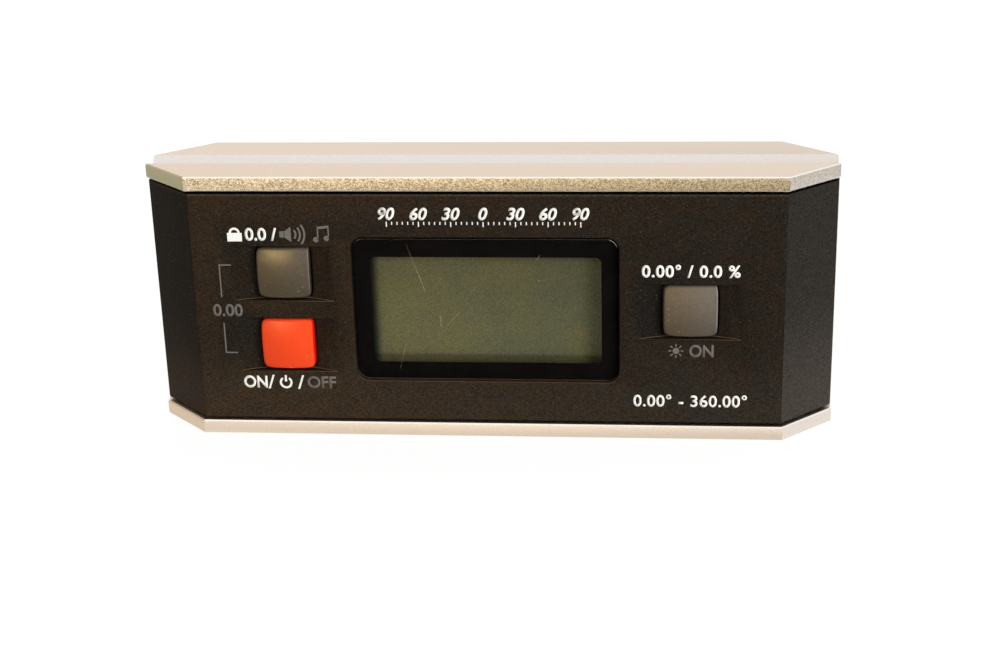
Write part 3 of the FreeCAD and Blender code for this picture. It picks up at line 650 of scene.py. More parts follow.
def window_clear():
    """Clear window seen through, a mirror only at a glancing view, with hairlines and dust.

    Its bevelled rim has a painted highlight where it faces upward, brightest at the upper right corner
    and warm at the upper left one.
    """
    material, tree, shader, place = new_material("Window clear")
    middle = Vector(box_middle("display_lens"))
    marks = None
    for start_x, start_z, end_x, end_z, width in WINDOW_SCRATCHES:
        mark = use_group(tree, scratch_group(), {
            "Vector": place,
            "Start": (middle.x + start_x * MM, 0.0, middle.z + start_z * MM),
            "End": (middle.x + end_x * MM, 0.0, middle.z + end_z * MM),
            "Width": width * MM,
        }).outputs["Mask"]
        marks = mark if marks is None else most(tree, marks, mark)
    flat = add(tree, "ShaderNodeVectorMath", {0: place, 1: (1.0, 0.0, 1.0)}, operation="MULTIPLY").outputs[0]
    dust = use_group(tree, specks_group(), {
        "Vector": flat, "Cell Size": 1.8 * MM, "Share": 0.13, "Radius": 0.05,
    }).outputs
    marks = most(tree, marks, dust["Mask"])
    facing = surface_facing(tree)
    shine = soft_step(tree, add(tree, "ShaderNodeFresnel", {"IOR": 1.45}).outputs[0], 0.12, 0.7)
    ahead = soft_step(tree, size_of(tree, facing["Y"]), 0.85, 0.98)
    shine = times(tree, shine, ahead)
    # Painted highlight on the upward rim and at its two upper corners
    upper_rim = soft_step(tree, facing["Z"], 0.4, 0.65)
    corner = soft_step(tree, maths(tree, "ADD", facing["X"], facing["Z"]), 0.8, 0.98)
    painted_left_glint = soft_step(tree, maths(tree, "SUBTRACT", facing["Z"], facing["X"]), 0.8, 0.96)
    rim = most(tree, most(tree, upper_rim, corner), painted_left_glint)
    marks_and_rim_highlight = most(tree, times(tree, rim, 0.7), times(tree, marks, 0.45))
    cover = most(tree, shine, marks_and_rim_highlight)
    inside = add(tree, "ShaderNodeNewGeometry").outputs["Backfacing"]
    cover = maths(tree, "MULTIPLY", cover, maths(tree, "SUBTRACT", 1.0, inside), clamp=True)
    link(tree, cover, shader.inputs["Alpha"])
    painted_rim_highlight = blend_colour(tree, corner, srgb(72, 66, 58), srgb(206, 204, 196))
    painted_rim_highlight = blend_colour(tree, painted_left_glint, painted_rim_highlight, srgb(176, 158, 124))
    tint = blend_colour(tree, rim, (0.9, 0.92, 0.9), painted_rim_highlight)
    tint = blend_colour(tree, marks, tint, srgb(172, 154, 110))
    link(tree, tint, shader.inputs["Base Color"])
    shader.inputs["Metallic"].default_value = 1.0
    link(tree, scaled(tree, marks, 0.5, 0.08), shader.inputs["Roughness"])
    return material


def border_ink(name):
    """Black border print or tape behind the window, with the faintest cloud."""
    material, tree, shader, place = new_material(name)
    cloud = add(tree, "ShaderNodeTexNoise", {"Vector": place, "Scale": 220.0, "Detail": 3.0}).outputs[0]
    link(tree, toned(tree, cloud, colours().mask, 0.4), shader.inputs["Base Color"])
    shader.inputs["Roughness"].default_value = 0.6
    shader.inputs["Specular IOR Level"].default_value = 0.0
    return material


def blank_panel():
    """Switched-off panel: olive film with soft patches. Painted shadow of the border darkens its left and
    lower edges, painted light brightens its right edge, and it is lighter towards its lower part and
    lighter and warmer towards its left.
    """
    material, tree, shader, place = new_material("Blank panel")
    low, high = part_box("window_mask")
    spot = axes(tree, place)
    view_low_x = low.x + BORDER_WIDTH
    view_high_x = high.x - BORDER_WIDTH
    view_low_z = low.z + BORDER_LOW
    # Painted shadow of the border on the left and lower edges, painted light on the right edge
    left = soft_step(tree, spot["X"], view_low_x - 0.2 * MM, view_low_x + 2.0 * MM)
    right = soft_step(tree, spot["X"], view_high_x - 3.8 * MM, view_high_x + 1.0 * MM)
    painted_lower_shadow = soft_step(tree, spot["Z"], view_low_z + 0.6 * MM, view_low_z + 1.4 * MM)
    cloud = add(tree, "ShaderNodeTexNoise", {
        "Vector": place, "Scale": 90.0, "Detail": 4.0, "Roughness": 0.55,
    }).outputs[0]
    warm = colours().panel
    cool = (warm[0] * 0.87, warm[1] * 0.9, warm[2] * 1.12)
    film = blend_colour(tree, soft_step(tree, cloud, 0.3, 0.7), cool, warm)
    stain = add(tree, "ShaderNodeTexNoise", {"Vector": place, "Scale": 170.0, "Detail": 2.0}).outputs[0]
    film = tinted(tree, film, soft_step(tree, stain, 0.6, 0.8), WHITE, (1.2, 1.05, 0.75))
    fine = grain(tree, place, 0.18 * MM, 1.3)
    film = tinted(tree, film, fine["Value"], (0.72, 0.72, 0.7), (1.28, 1.28, 1.3))
    # Lighter towards the lower part, and lighter and warmer towards the left
    lower = soft_step(tree, spot["Z"], view_low_z + 24 * MM, view_low_z)
    film = tinted(tree, film, lower, (0.98, 0.96, 0.94), (1.22, 1.22, 1.2))
    across = soft_step(tree, spot["X"], view_low_x, view_high_x)
    film = tinted(tree, film, across, (1.1, 1.08, 1.0), (0.86, 0.88, 0.88))
    film = blend_colour(tree, left, srgb(30, 31, 30), film)
    film = tinted(tree, film, right, WHITE, (1.95, 1.8, 1.6))
    film = tinted(tree, film, painted_lower_shadow, (0.66, 0.63, 0.62), WHITE)
    link(tree, film, shader.inputs["Base Color"])
    shader.inputs["Roughness"].default_value = 0.6
    shader.inputs["Specular IOR Level"].default_value = 0.02
    return material


def moulded(name, colour, grain_size=0.0003, roughness=0.5, metallic=0.0, contrast=0.8, relief=0.2):
    """Plain finish for rubber, moulded and metal parts: one colour broken up by grain, in relief."""
    material, tree, shader, place = new_material(name)
    fine = grain(tree, place, grain_size, contrast)
    link(tree, toned(tree, fine["Value"], colour, 0.18), shader.inputs["Base Color"])
    link(tree, scaled(tree, fine["Value"], 0.14, roughness - 0.07), shader.inputs["Roughness"])
    shader.inputs["Metallic"].default_value = metallic
    bump(tree, shader, fine["Height"], relief, 0.00003)
    return material


def screw_steel(name, head_y):
    """Plated steel of screws that are driven in from the back, with a painted shade down in their sockets."""
    material, tree, shader, place = new_material(name)
    fine = grain(tree, place, 0.2 * MM, 0.8)
    depth = axes(tree, place)["Y"]
    outside = soft_step(tree, depth, head_y - 0.7 * MM, head_y - 0.3 * MM)
    body = toned(tree, fine["Value"], srgb(158, 157, 152), 0.15)
    # Painted shade: dark down in the sockets
    link(tree, blend_colour(tree, outside, srgb(38, 36, 34), body), shader.inputs["Base Color"])
    link(tree, scaled(tree, fine["Value"], 0.14, 0.25), shader.inputs["Roughness"])
    shader.inputs["Metallic"].default_value = 1.0
    bump(tree, shader, fine["Height"], 0.1, 0.00003)
    return material


def board_laminate():
    """Green solder mask with straight copper runs showing through."""
    material, tree, shader, place = new_material("Board laminate")
    runs = add(tree, "ShaderNodeTexBrick", {
        "Vector": add(tree, "ShaderNodeMapping", {
            "Vector": place, "Rotation": (math.radians(90), 0.0, 0.0),
        }).outputs[0],
        "Color1": (1.0, 1.0, 1.0, 1.0), "Color2": (0.85, 0.85, 0.85, 1.0), "Mortar": (0.0, 0.0, 0.0, 1.0),
        "Scale": 260.0, "Mortar Size": 0.03, "Brick Width": 1.7, "Row Height": 0.35,
    })
    body = blend_colour(tree, runs.outputs["Fac"], srgb(20, 92, 48), srgb(58, 132, 70))
    link(tree, body, shader.inputs["Base Color"])
    shader.inputs["Roughness"].default_value = 0.35
    bump(tree, shader, runs.outputs["Fac"], 0.2, 0.00002)
    return material


# Shapes

def box_middle(node):
    """Middle of a solid's box."""
    low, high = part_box(node)
    return (Vector(low) + Vector(high)) / 2


def add_object(name, data):
    """New object in the scene, at the origin."""
    made = bpy.data.objects.new(name, data)
    bpy.context.scene.collection.objects.link(made)
    return made


def loose_piece(name, mesh, material):
    """Object at the origin that doesn't ride on a body yet."""
    piece = add_object(name, mesh)
    mesh.materials.clear()
    mesh.materials.append(material)
    return piece


def new_piece(name, mesh, body, material):
    """Object at the origin that rides on a body."""
    piece = loose_piece(name, mesh, material)
    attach(piece, body)
    return piece


def merged_copy(node):
    """Editable copy of a solid's mesh, with its doubled points merged."""
    shape = bmesh.new()
    shape.from_mesh(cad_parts[node].data)
    bmesh.ops.remove_doubles(shape, verts=shape.verts, dist=0.002 * MM)
    return shape


def mesh_from(shape, name):
    """Mesh of an editable shape, which is then freed."""
    mesh = bpy.data.meshes.new(name)
    shape.to_mesh(mesh)
    shape.free()
    return mesh


def dress(node, material):
    """Give a solid its finish."""
    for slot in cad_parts[node].material_slots:
        slot.material = material


def rings_mesh(name, rings):
    """Closed surface through rings of points, an array of ring, point and axis; both ends are capped."""
    count, size, _ = rings.shape
    index = np.arange(count * size).reshape(count, size)
    following = np.roll(index, -1, axis=1)
    quads = np.stack([index[:-1], following[:-1], following[1:], index[1:]], axis=-1).reshape(-1, 4)
    caps = [index[0][::-1].tolist(), index[-1].tolist()]
    mesh = bpy.data.meshes.new(name)
    mesh.from_pydata(rings.reshape(-1, 3).tolist(), [], quads.tolist() + caps)
    shape = bmesh.new()
    shape.from_mesh(mesh)
    bmesh.ops.recalc_face_normals(shape, faces=shape.faces)
    shape.to_mesh(mesh)
    shape.free()
    mesh.shade_smooth()
    mesh.set_sharp_from_angle(angle=math.radians(40))
    return mesh


def skin_of(node, name, bevel, material, edge_material=None):
    """Merged copy of a solid, with its flat faces joined and a small bevel on its sharp edges.

    With an edge material, the bevel's faces are given that one.
    """
    shape = merged_copy(node)
    bmesh.ops.dissolve_limit(
        shape, angle_limit=math.radians(0.3), use_dissolve_boundaries=False,
        verts=shape.verts, edges=shape.edges,
    )
    mesh = mesh_from(shape, name)
    mesh.shade_smooth()
    piece = new_piece(name, mesh, HOUSING, material)
    edge = piece.modifiers.new("Edge", "BEVEL")
    edge.width = bevel
    edge.segments = 2
    edge.limit_method = "ANGLE"
    edge.angle_limit = math.radians(28)
    edge.harden_normals = True
    if edge_material:
        mesh.materials.append(edge_material)
        edge.material = 1
    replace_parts(piece, node)
    return piece


def set_back_border(material):
    """Copy of the window's border with its front a hair behind the window, so that the two don't meet."""
    shape = merged_copy("window_mask")
    front_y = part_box("window_mask")[0].y
    for vertex in shape.verts:
        if vertex.co.y < front_y + BORDER_GAP:
            vertex.co.y = front_y + BORDER_GAP
    mesh = mesh_from(shape, "window_mask_skin")
    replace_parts(new_piece("window_mask_skin", mesh, HOUSING, material), "window_mask")


def key_domes(material):
    """Copies of the rubber sheets, cut apart between the keys; on the real keypad the domes give way under
    the caps.
    """
    cut_z = (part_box("hold_button")[0].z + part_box("power_button")[1].z) / 2
    kept_side = {"hold": 1, "power": -1, "units": 0}
    for key, side in kept_side.items():
        sheet = "left_keypad" if side else "right_keypad"
        shape = merged_copy(sheet)
        if side:
            bmesh.ops.bisect_plane(
                shape, geom=shape.verts[:] + shape.edges[:] + shape.faces[:], dist=0.001 * MM,
                plane_co=(0.0, 0.0, cut_z), plane_no=(0.0, 0.0, -side), clear_outer=True,
            )
            bmesh.ops.holes_fill(shape, edges=[edge for edge in shape.edges if edge.is_boundary])
        piece = loose_piece(key + "_dome", mesh_from(shape, key + "_dome"), material)
        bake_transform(piece)
        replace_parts(piece, sheet)


def cap_rings(middle, half_size, crown_y, back_y, flange_y, flange_half):
    """Rings of a pillow-shaped cap.

    Each ring is a superellipse of power 9 (a square with soft corners) scaled by a share of the half
    size. The front falls with the square of the distance from its middle, then turns over the edge as
    a quarter circle; the side runs straight back to the stop flange, which is a larger ring.
    """
    turn = np.linspace(0.0, 2 * np.pi, 96, endpoint=False)
    across = np.sign(np.cos(turn)) * np.abs(np.cos(turn)) ** (2 / 9)
    upward = np.sign(np.sin(turn)) * np.abs(np.sin(turn)) ** (2 / 9)
    edge = sizes().cap_edge
    flat_share = 1 - edge / half_size
    bend = np.linspace(0.0, np.pi / 2, 9)[1:]
    over_edge = flat_share + (1 - flat_share) * np.sin(bend)
    front_share = np.concatenate([np.linspace(0.02, flat_share, 14), over_edge])
    turned_back = np.concatenate([np.zeros(14), edge * (1 - np.cos(bend))])
    from_middle = front_share[:, None] * np.hypot(across, upward)[None, :]
    front_y = crown_y + sizes().cap_crown * from_middle ** 2 + turned_back[:, None]
    flange_share = flange_half / half_size
    share = np.concatenate([front_share, [1.0, flange_share, flange_share, 0.02]])
    back_depth = np.repeat(np.array([flange_y, flange_y, back_y, back_y])[:, None], len(turn), axis=1)
    depth = np.concatenate([front_y, back_depth])
    return np.stack([
        middle.x + half_size * share[:, None] * across[None, :],
        depth,
        middle.z + half_size * share[:, None] * upward[None, :],
    ], axis=-1)


def thicken(shape, depth):
    """Give flat faces a thickness along Y."""
    grown = bmesh.ops.extrude_face_region(shape, geom=list(shape.faces))
    moved = [item for item in grown["geom"] if isinstance(item, bmesh.types.BMVert)]
    bmesh.ops.translate(shape, verts=moved, vec=(0.0, depth, 0.0))
    bmesh.ops.recalc_face_normals(shape, faces=shape.faces)


def flat_print(name, outlines, material):
    """Thin printed shape on the front face from closed outlines of (x, z) points."""
    face_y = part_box("front_shell")[0].y
    shape = bmesh.new()
    for outline in outlines:
        shape.faces.new([shape.verts.new((x, face_y, z)) for x, z in outline])
    thicken(shape, -sizes().print_thickness)
    return new_piece(name, mesh_from(shape, name), HOUSING, material)


def figures(name, text, middle_x, middle_z, height, material, slant=0.0, weight=0.0, spacing=1.0, width=None):
    """Printed figures or signs, centred on a point of the front face, as a mesh of thin ink.

    The outline is the built-in typeface, made to the wanted height of its digits and, where a width
    is given, stretched to it.
    """
    face_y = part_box("front_shell")[0].y
    curve = bpy.data.curves.new(name, "FONT")
    curve.body = text
    curve.size = 1.0
    curve.shear = slant
    curve.offset = weight
    curve.space_character = spacing
    curve.resolution_u = 6
    holder = add_object(name + "_text", curve)
    bpy.context.view_layer.update()
    mesh = bpy.data.meshes.new_from_object(holder)
    bpy.data.objects.remove(holder)
    bpy.data.curves.remove(curve)
    mesh.name = name
    points = np.empty(len(mesh.vertices) * 3)
    mesh.vertices.foreach_get("co", points)
    points = points.reshape(-1, 3)
    low = points.min(axis=0)
    high = points.max(axis=0)
    scale_z = height / (high[1] - low[1])
    scale_x = scale_z if width is None else width / (high[0] - low[0])
    placed = np.empty_like(points)
    placed[:, 0] = middle_x + (points[:, 0] - (low[0] + high[0]) / 2) * scale_x
    placed[:, 1] = face_y - sizes().print_thickness
    placed[:, 2] = middle_z + (points[:, 1] - (low[1] + high[1]) / 2) * scale_z
    mesh.vertices.foreach_set("co", placed.ravel())
    shape = bmesh.new()
    shape.from_mesh(mesh)
    bmesh.ops.remove_doubles(shape, verts=shape.verts, dist=0.001 * MM)
    for face in shape.faces:
        if face.normal.y > 0:
            face.normal_flip()
    thicken(shape, sizes().print_thickness)
    shape.to_mesh(mesh)
    shape.free()
    return new_piece(name, mesh, HOUSING, material)


def arc(center_x, center_z, radius, start, stop, count=16):
    """Points on an arc, with angles in degrees."""
    angles = np.radians(np.linspace(start, stop, count))
    return [(center_x + radius * math.cos(a), center_z + radius * math.sin(a)) for a in angles]


def band(center_x, center_z, inner, outer, start, stop, count=16):
    """Outline of an arc-shaped band."""
    outside = arc(center_x, center_z, outer, start, stop, count)
    return outside + arc(center_x, center_z, inner, stop, start, count)


def rectangle(x0, x1, z0, z1):
    """Outline of an upright rectangle."""
    return [(x0, z0), (x1, z0), (x1, z1), (x0, z1)]


def scale_signs(ink):
    """Row of plain degree figures over a row of ticks, above the window."""
    marks = (90, 60, 30, 0, 30, 60, 90)
    step = 2 * SCALE_HALF_WIDTH / (len(marks) - 1)
    for index, mark in enumerate(marks):
        x = -SCALE_HALF_WIDTH + index * step
        figures(
            "scale_figure_%d" % index, str(mark), x, SCALE_Z + 0.6 * MM, SCALE_FIGURE_HEIGHT, ink,
            slant=0.25, weight=0.03,
        )
    ticks = []
    fine = 6
    for index in range((len(marks) - 1) * fine + 1):
        x = -SCALE_HALF_WIDTH + index * step / fine
        tall = 1.1 * MM if index % fine == 0 else 0.65 * MM
        top = SCALE_Z - 1.15 * MM
        half = 0.11 * MM
        ticks.append(rectangle(x - half, x + half, top - tall, top))
    flat_print("scale_ticks", ticks, ink)


def slash(x, z):
    """Outline of a leaning stroke between signs."""
    half_height = SIGN_HEIGHT * 0.56
    lean = 0.55 * MM
    half = 0.22 * MM
    return [
        (x - lean - half, z - half_height), (x - lean + half, z - half_height),
        (x + lean + half, z + half_height), (x + lean - half, z + half_height),
    ]


def twin_notes(x, z):
    """Outlines of two joined notes: round heads, stems and a sloping beam."""
    stem = 0.15 * MM
    rise = 0.3 * MM
    shapes = []
    for side in (-1, 1):
        head_x = x + side * 1.15 * MM
        head_z = z - 1.15 * MM + (rise if side > 0 else 0.0)
        stem_x = head_x + 0.45 * MM
        shapes.append(arc(head_x, head_z, 0.6 * MM, 0, 345, 24))
        shapes.append(rectangle(stem_x - stem, stem_x + stem, head_z, head_z + 2.4 * MM))
    left = x - 1.15 * MM + 0.45 * MM - stem
    right = x + 1.15 * MM + 0.45 * MM + stem
    beam_z = z + 1.15 * MM
    thick = 0.55 * MM
    shapes.append([
        (left, beam_z), (right, beam_z + rise), (right, beam_z + rise + thick), (left, beam_z + thick),
    ])
    return shapes


def hold_signs(white, grey):
    """White padlock, a held number and a stroke, and a grey sounding speaker, above the hold button."""
    z = HOLD_SIGN_Z
    x = -53.6 * MM
    lock = [
        rectangle(x - 1.6 * MM, x + 1.6 * MM, z - 1.6 * MM, z + 0.3 * MM),
        band(x, z + 0.3 * MM, 0.7 * MM, 1.2 * MM, 0, 180),
    ]
    flat_print("hold_sign", lock, white)
    figures("held_number", "0.0 /", -47.9 * MM, z, SIGN_HEIGHT, white, weight=0.028)
    x = -41.6 * MM
    speaker = [
        rectangle(x - 2.2 * MM, x - 1.25 * MM, z - 0.7 * MM, z + 0.7 * MM),
        [
            (x - 1.1 * MM, z - 0.7 * MM), (x + 0.3 * MM, z - 1.7 * MM),
            (x + 0.3 * MM, z + 1.7 * MM), (x - 1.1 * MM, z + 0.7 * MM),
        ],
    ]
    for radius in (1.3 * MM, 2.25 * MM, 3.2 * MM):
        speaker.append(band(x - 0.2 * MM, z, radius, radius + 0.42 * MM, -38, 38))
    flat_print("sound_sign", speaker + twin_notes(-34.8 * MM, z), grey)


def power_signs(white, grey):
    """White ON, a ring and stroke, and grey OFF under the power button."""
    z = POWER_SIGN_Z
    figures("on_sign", "ON", -51.45 * MM, z, SIGN_HEIGHT, white, weight=0.028, width=5.3 * MM)
    x = -44.65 * MM
    ring = band(x, z - 0.1 * MM, 0.95 * MM, 1.42 * MM, -235, 55, 40)
    stroke = rectangle(x - 0.24 * MM, x + 0.24 * MM, z + 0.1 * MM, z + 1.6 * MM)
    flat_print("power_sign", [slash(-47.9 * MM, z), ring, stroke, slash(-41.3 * MM, z)], white)
    figures("off_sign", "OFF", -36.7 * MM, z, SIGN_HEIGHT, grey, weight=0.028, width=6.4 * MM)


def bracket_signs(grey):
    """Grey bracket from the hold button to the power button, with a plain zero between its halves."""
    half = sizes().line_width / 2
    x = BRACKET_X
    arm_end = x + BRACKET_ARM
    low, high = BRACKET_UPPER
    upper = [
        (x - half, low), (x + half, low), (x + half, high - half),
        (arm_end, high - half), (arm_end, high + half), (x - half, high + half),
    ]
    low, high = BRACKET_LOWER
    lower = [
        (x - half, low - half), (arm_end, low - half), (arm_end, low + half),
        (x + half, low + half), (x + half, high), (x - half, high),
    ]
    flat_print("bracket_lines", [upper, lower], grey)
    figures("zero_sign", "0.00", ZERO_SIGN[0], ZERO_SIGN[1], SIGN_HEIGHT, grey, weight=0.025)


def units_signs(white, grey):
    """White angle and slope signs above the units button, and a grey lamp and ON under it."""
    figures(
        "units_sign", "0.00° / 0.0 %", 43.7 * MM, UNITS_SIGN_Z, SIGN_HEIGHT, white,
        weight=0.028, spacing=1.09,
    )
    x = 40.7 * MM
    z = LAMP_SIGN_Z
    lamp = [arc(x, z, 0.72 * MM, 0, 345, 24)]
    for index in range(8):
        angle = index * math.pi / 4
        outward = np.array([math.cos(angle), math.sin(angle)])
        across = np.array([-outward[1], outward[0]]) * 0.15 * MM
        start = np.array([x, z]) + outward * 1.0 * MM
        stop = np.array([x, z]) + outward * 1.6 * MM
        corners = (start - across, stop - across, stop + across, start + across)
        lamp.append([(float(point[0]), float(point[1])) for point in corners])
    flat_print("lamp_sign", lamp, grey)
    figures("lamp_on_sign", "ON", 46.1 * MM, z, SIGN_HEIGHT, grey, weight=0.025, width=5.2 * MM)


def range_signs(white):
    """White plain range of the scale, low on the right."""
    figures(
        "range_sign", "0.00° - 360.00°", RANGE_SIGN[0], RANGE_SIGN[1], SIGN_HEIGHT, white,
        weight=0.02, spacing=1.07,
    )


class FrameOperator(bpy.types.Operator):
    """Dress the aluminium frame"""

    bl_idname = "protractor.frame"
    bl_label = "Frame"

    def execute(self, context):
        skin_of("frame", "frame_skin", sizes().rail_bevel, rail_aluminium())
        return {"FINISHED"}


class ShellsOperator(bpy.types.Operator):
    """Dress the front and rear shells and the battery door"""

    bl_idname = "protractor.shells"
    bl_label = "Shells"

    def execute(self, context):
        # On the plain coat, upward faces away from the top take a flat, slightly darker brown
        coat = shell_coat("Moulded coat", srgb(40, 32, 25), 0.0)
        # The edge material: painted highlight on upward edges, wear on all edges of the back
        worn = shell_coat("Moulded edge highlight and wear", tuple(colours().worn), 0.4)
        for node in ("front_shell", "rear_shell", "battery_door"):
            skin_of(node, node + "_skin", sizes().shell_bevel, coat, worn)
        return {"FINISHED"}


class WindowOperator(bpy.types.Operator):
    """Dress the window, its border and the panel behind it"""

    bl_idname = "protractor.window"
    bl_label = "Window and panel"

    def execute(self, context):
        dress("display_lens", window_clear())
        set_back_border(border_ink("Window border"))
        dress("lcd_panel", blank_panel())
        dress("lcd_holder", moulded("Holder plastic", srgb(28, 27, 25), roughness=0.7))
        dress("lens_adhesive", border_ink("Window tape"))
        dress("backlight_panel", moulded("Light guide", srgb(214, 214, 206), roughness=0.3))
        dress("contact_strip", moulded("Contact rubber", srgb(190, 120, 130), roughness=0.7))
        return {"FINISHED"}


class ButtonsOperator(bpy.types.Operator):
    """Build the three pillow-shaped button caps"""

    bl_idname = "protractor.buttons"
    bl_label = "Buttons"

    def execute(self, context):
        grey = cap_plastic(
            "Grey cap", colours().grey_cap, painted_side_tint=0.16, spread=0.2, shading=0.34, gloss=0.45,
            painted_rim_tone=(2.4, 2.6, 2.9), painted_wall_shade=(0.5, 0.52, 0.55),
        )
        red = cap_plastic(
            "Red cap", colours().red_cap, painted_side_tint=0.05, spread=0.05, shading=0.04, gloss=0.2,
            painted_rim_tone=(0.8, 0.35, 0.3), painted_wall_shade=(0.9, 0.12, 0.1),
        )
        for node, body in BUTTONS.items():
            low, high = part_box(node)
            flange_half = (high.x - low.x) / 2
            rings = cap_rings(
                box_middle(node), flange_half - FLANGE_WIDTH, low.y, high.y,
                high.y - FLANGE_THICKNESS, flange_half,
            )
            slot, material = ("button_red", red) if node == "power_button" else ("button_grey", grey)
            mesh = rings_mesh(node + "_cap", rings)
            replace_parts(new_piece(node + "_cap", mesh, body, material), node)
        return {"FINISHED"}


class SignsOperator(bpy.types.Operator):
    """Print the plain figures and signs on the front shell"""

    bl_idname = "protractor.signs"
    bl_label = "Printed signs"

    def execute(self, context):
        white = printed_ink("White ink", colours().white_print)
        grey = printed_ink("Grey ink", colours().grey_print)
        scale_signs(white)
        hold_signs(white, grey)
        power_signs(white, grey)
        bracket_signs(grey)
        units_signs(white, grey)
        range_signs(white)
        return {"FINISHED"}


class FittingsOperator(bpy.types.Operator):
    """Dress the gaskets, the screws and the parts inside"""

    bl_idname = "protractor.fittings"
    bl_label = "Fittings and inner parts"

    def execute(self, context):
        seal = moulded("Seal rubber", srgb(26, 26, 26), roughness=0.75, relief=0.3)
        steel = moulded("Zinc steel", srgb(176, 176, 172), 0.0002, 0.32, 1.0, 0.8, 0.1)
        epoxy = moulded("Chip epoxy", srgb(34, 34, 36), 0.00015, 0.6)
        tray = moulded("Tray plastic", srgb(30, 30, 30), 0.0003, 0.5)
        rubber = moulded("Keypad silicone", srgb(120, 120, 122), 0.0003, 0.6)
        contact = moulded("Contact metal", srgb(206, 202, 184), 0.0003, 0.25, 1.0, 0.6, 0.1)
        finishes = {
            "front_gasket": seal, "rear_gasket": seal, "door_gasket": seal,
            "board_screws": steel,
            "shell_screws": screw_steel("Long screw steel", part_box("shell_screws")[1].y),
            "door_screws": screw_steel("Door screw steel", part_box("door_screws")[1].y),
            "main_board": board_laminate(),
            "processor_chip": epoxy, "piezo_buzzer": epoxy,
            "tilt_sensor": moulded("Sensor can", srgb(188, 186, 180), 0.0002, 0.3, 1.0, 0.6, 0.1),
            "left_keypad": rubber, "right_keypad": rubber,
            "battery_tray": tray, "web_grommet": tray,
            "battery_cells": moulded("Cell jacket", srgb(92, 96, 104), 0.0004, 0.35, 0.6, 0.6, 0.1),
            "battery_springs": contact, "contact_plates": contact,
            "power_pins": moulded("Pin brass", srgb(214, 178, 108), 0.0002, 0.3, 1.0, 0.6, 0.1),
        }
        for node, material in finishes.items():
            dress(node, material)
        key_domes(rubber)
        return {"FINISHED"}


def white_where_seen(tree):
    """1 for the camera's, glossy and transmission rays, and 0 for the rays that only carry light."""
    rays = add(tree, "ShaderNodeLightPath")
    seen = most(tree, rays.outputs["Is Camera Ray"], rays.outputs["Is Glossy Ray"])
    return maths(tree, "MAXIMUM", seen, rays.outputs["Is Transmission Ray"], clamp=True)


def studio_world():
    """Plain light all round: white where it is seen, softer where it only lights."""
    world = bpy.data.worlds.new("Studio")
    bpy.context.scene.world = world
    world.use_nodes = True
    tree = world.node_tree
    tree.nodes.clear()
    seen = white_where_seen(tree)
    strength = scaled(tree, seen, 1.0 - WORLD_LIGHT, WORLD_LIGHT)
    sky = add(tree, "ShaderNodeBackground", {"Color": (1.0, 1.0, 1.0, 1.0), "Strength": strength})
    output = tree.nodes.new("ShaderNodeOutputWorld")
    tree.links.new(sky.outputs[0], output.inputs[0])


def studio_floor():
    """Large pale floor that keeps a soft shadow of the object."""
    half = 3.0
    corners = [(-half, -half, FLOOR_Z), (half, -half, FLOOR_Z), (half, half, FLOOR_Z), (-half, half, FLOOR_Z)]
    mesh = bpy.data.meshes.new("floor")
    mesh.from_pydata(corners, [], [(0, 1, 2, 3)])
    floor = add_object("floor", mesh)
    material = bpy.data.materials.new("Pale floor")
    material.use_nodes = True
    tree = material.node_tree
    tree.nodes.clear()
    lit = add(tree, "ShaderNodeBsdfDiffuse", {"Color": (*colours().floor, 1.0)})
    white = add(tree, "ShaderNodeEmission", {"Color": (1.0, 1.0, 1.0, 1.0), "Strength": FLOOR_WHITE})
    seen = times(tree, white_where_seen(tree), 1 - FLOOR_SHADOW)
    mixed = add(tree, "ShaderNodeMixShader", {0: seen, 1: lit.outputs[0], 2: white.outputs[0]})
    output = tree.nodes.new("ShaderNodeOutputMaterial")
    tree.links.new(mixed.outputs[0], output.inputs[0])
    mesh.materials.append(material)


def studio_lamps():
    """Large soft lamps that look at the object."""
    middle = (Vector(CAD_BOX[0]) + Vector(CAD_BOX[1])) / 2
    for name, place, width, height, power, colour, shine_only in LAMPS:
        data = bpy.data.lights.new(name, "AREA")
        data.shape = "RECTANGLE"
        data.size = width
        data.size_y = height
        data.energy = power
        data.color = colour
        lamp = add_object(name, data)
        lamp.visible_glossy = shine_only
        lamp.visible_diffuse = not shine_only
        lamp.location = place
        lamp.rotation_mode = "QUATERNION"
        lamp.rotation_quaternion = (middle - Vector(place)).to_track_quat("-Z", "Y")


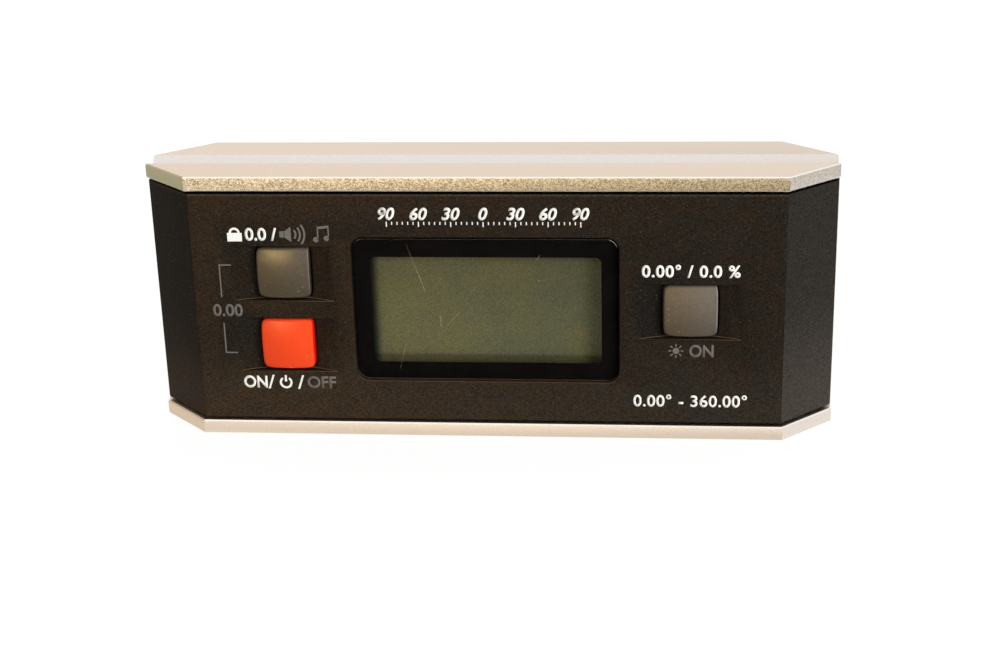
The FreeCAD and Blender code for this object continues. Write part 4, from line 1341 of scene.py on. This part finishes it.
def photo_camera():
    """Camera at the photograph's place, from its yaw, pitch and roll."""
    forward = Vector((
        -math.sin(CAMERA_YAW) * math.cos(CAMERA_PITCH),
        math.cos(CAMERA_YAW) * math.cos(CAMERA_PITCH),
        -math.sin(CAMERA_PITCH),
    ))
    level = Vector((math.cos(CAMERA_YAW), math.sin(CAMERA_YAW), 0.0))
    upward = level.cross(forward)
    right = math.cos(CAMERA_ROLL) * level + math.sin(CAMERA_ROLL) * upward
    above = right.cross(forward)
    data = bpy.data.cameras.new("Photo camera")
    data.sensor_width = SENSOR_WIDTH
    data.lens = CAMERA_FOCUS_SHARE * SENSOR_WIDTH
    data.clip_start = 0.01
    data.clip_end = 20.0
    camera = add_object("Photo camera", data)
    turn = Matrix((right, above, -forward)).transposed().to_4x4()
    camera.matrix_world = Matrix.Translation(Vector(CAMERA_PLACE)) @ turn
    bpy.context.scene.camera = camera


class StageOperator(bpy.types.Operator):
    """Set up the floor, the light and the camera"""

    bl_idname = "protractor.stage"
    bl_label = "Stage"

    def execute(self, context):
        context.scene.view_settings.view_transform = "Standard"
        studio_world()
        studio_floor()
        studio_lamps()
        photo_camera()
        return {"FINISHED"}


OPERATORS = (
    FrameOperator, ShellsOperator, WindowOperator, ButtonsOperator, SignsOperator, FittingsOperator,
    StageOperator,
)


class ProtractorPanel(bpy.types.Panel):
    """Settings and steps of the protractor"""

    bl_idname = "VIEW3D_PT_protractor"
    bl_label = "Digital protractor"
    bl_space_type = "VIEW_3D"
    bl_region_type = "UI"
    bl_category = "Protractor"

    def draw(self, context):
        layout = self.layout
        for settings in (context.scene.protractor_sizes, context.scene.protractor_colours):
            column = layout.column()
            for name in settings.__annotations__:
                column.prop(settings, name)
        for operator in OPERATORS:
            layout.operator(operator.bl_idname)


CLASSES = (ProtractorSizes, ProtractorColours, *OPERATORS, ProtractorPanel)


def register():
    """Register the classes and the scene's settings."""
    for kind in CLASSES:
        bpy.utils.register_class(kind)
    bpy.types.Scene.protractor_sizes = bpy.props.PointerProperty(type=ProtractorSizes)
    bpy.types.Scene.protractor_colours = bpy.props.PointerProperty(type=ProtractorColours)


def unregister():
    """Remove the settings and the classes."""
    del bpy.types.Scene.protractor_colours
    del bpy.types.Scene.protractor_sizes
    for kind in reversed(CLASSES):
        bpy.utils.unregister_class(kind)


def main():
    """Build the scene by calling each operator in turn."""
    register()
    bpy.ops.protractor.frame()
    bpy.ops.protractor.shells()
    bpy.ops.protractor.window()
    bpy.ops.protractor.buttons()
    bpy.ops.protractor.signs()
    bpy.ops.protractor.fittings()
    bpy.ops.protractor.stage()


if __name__ == "__main__":
    main()
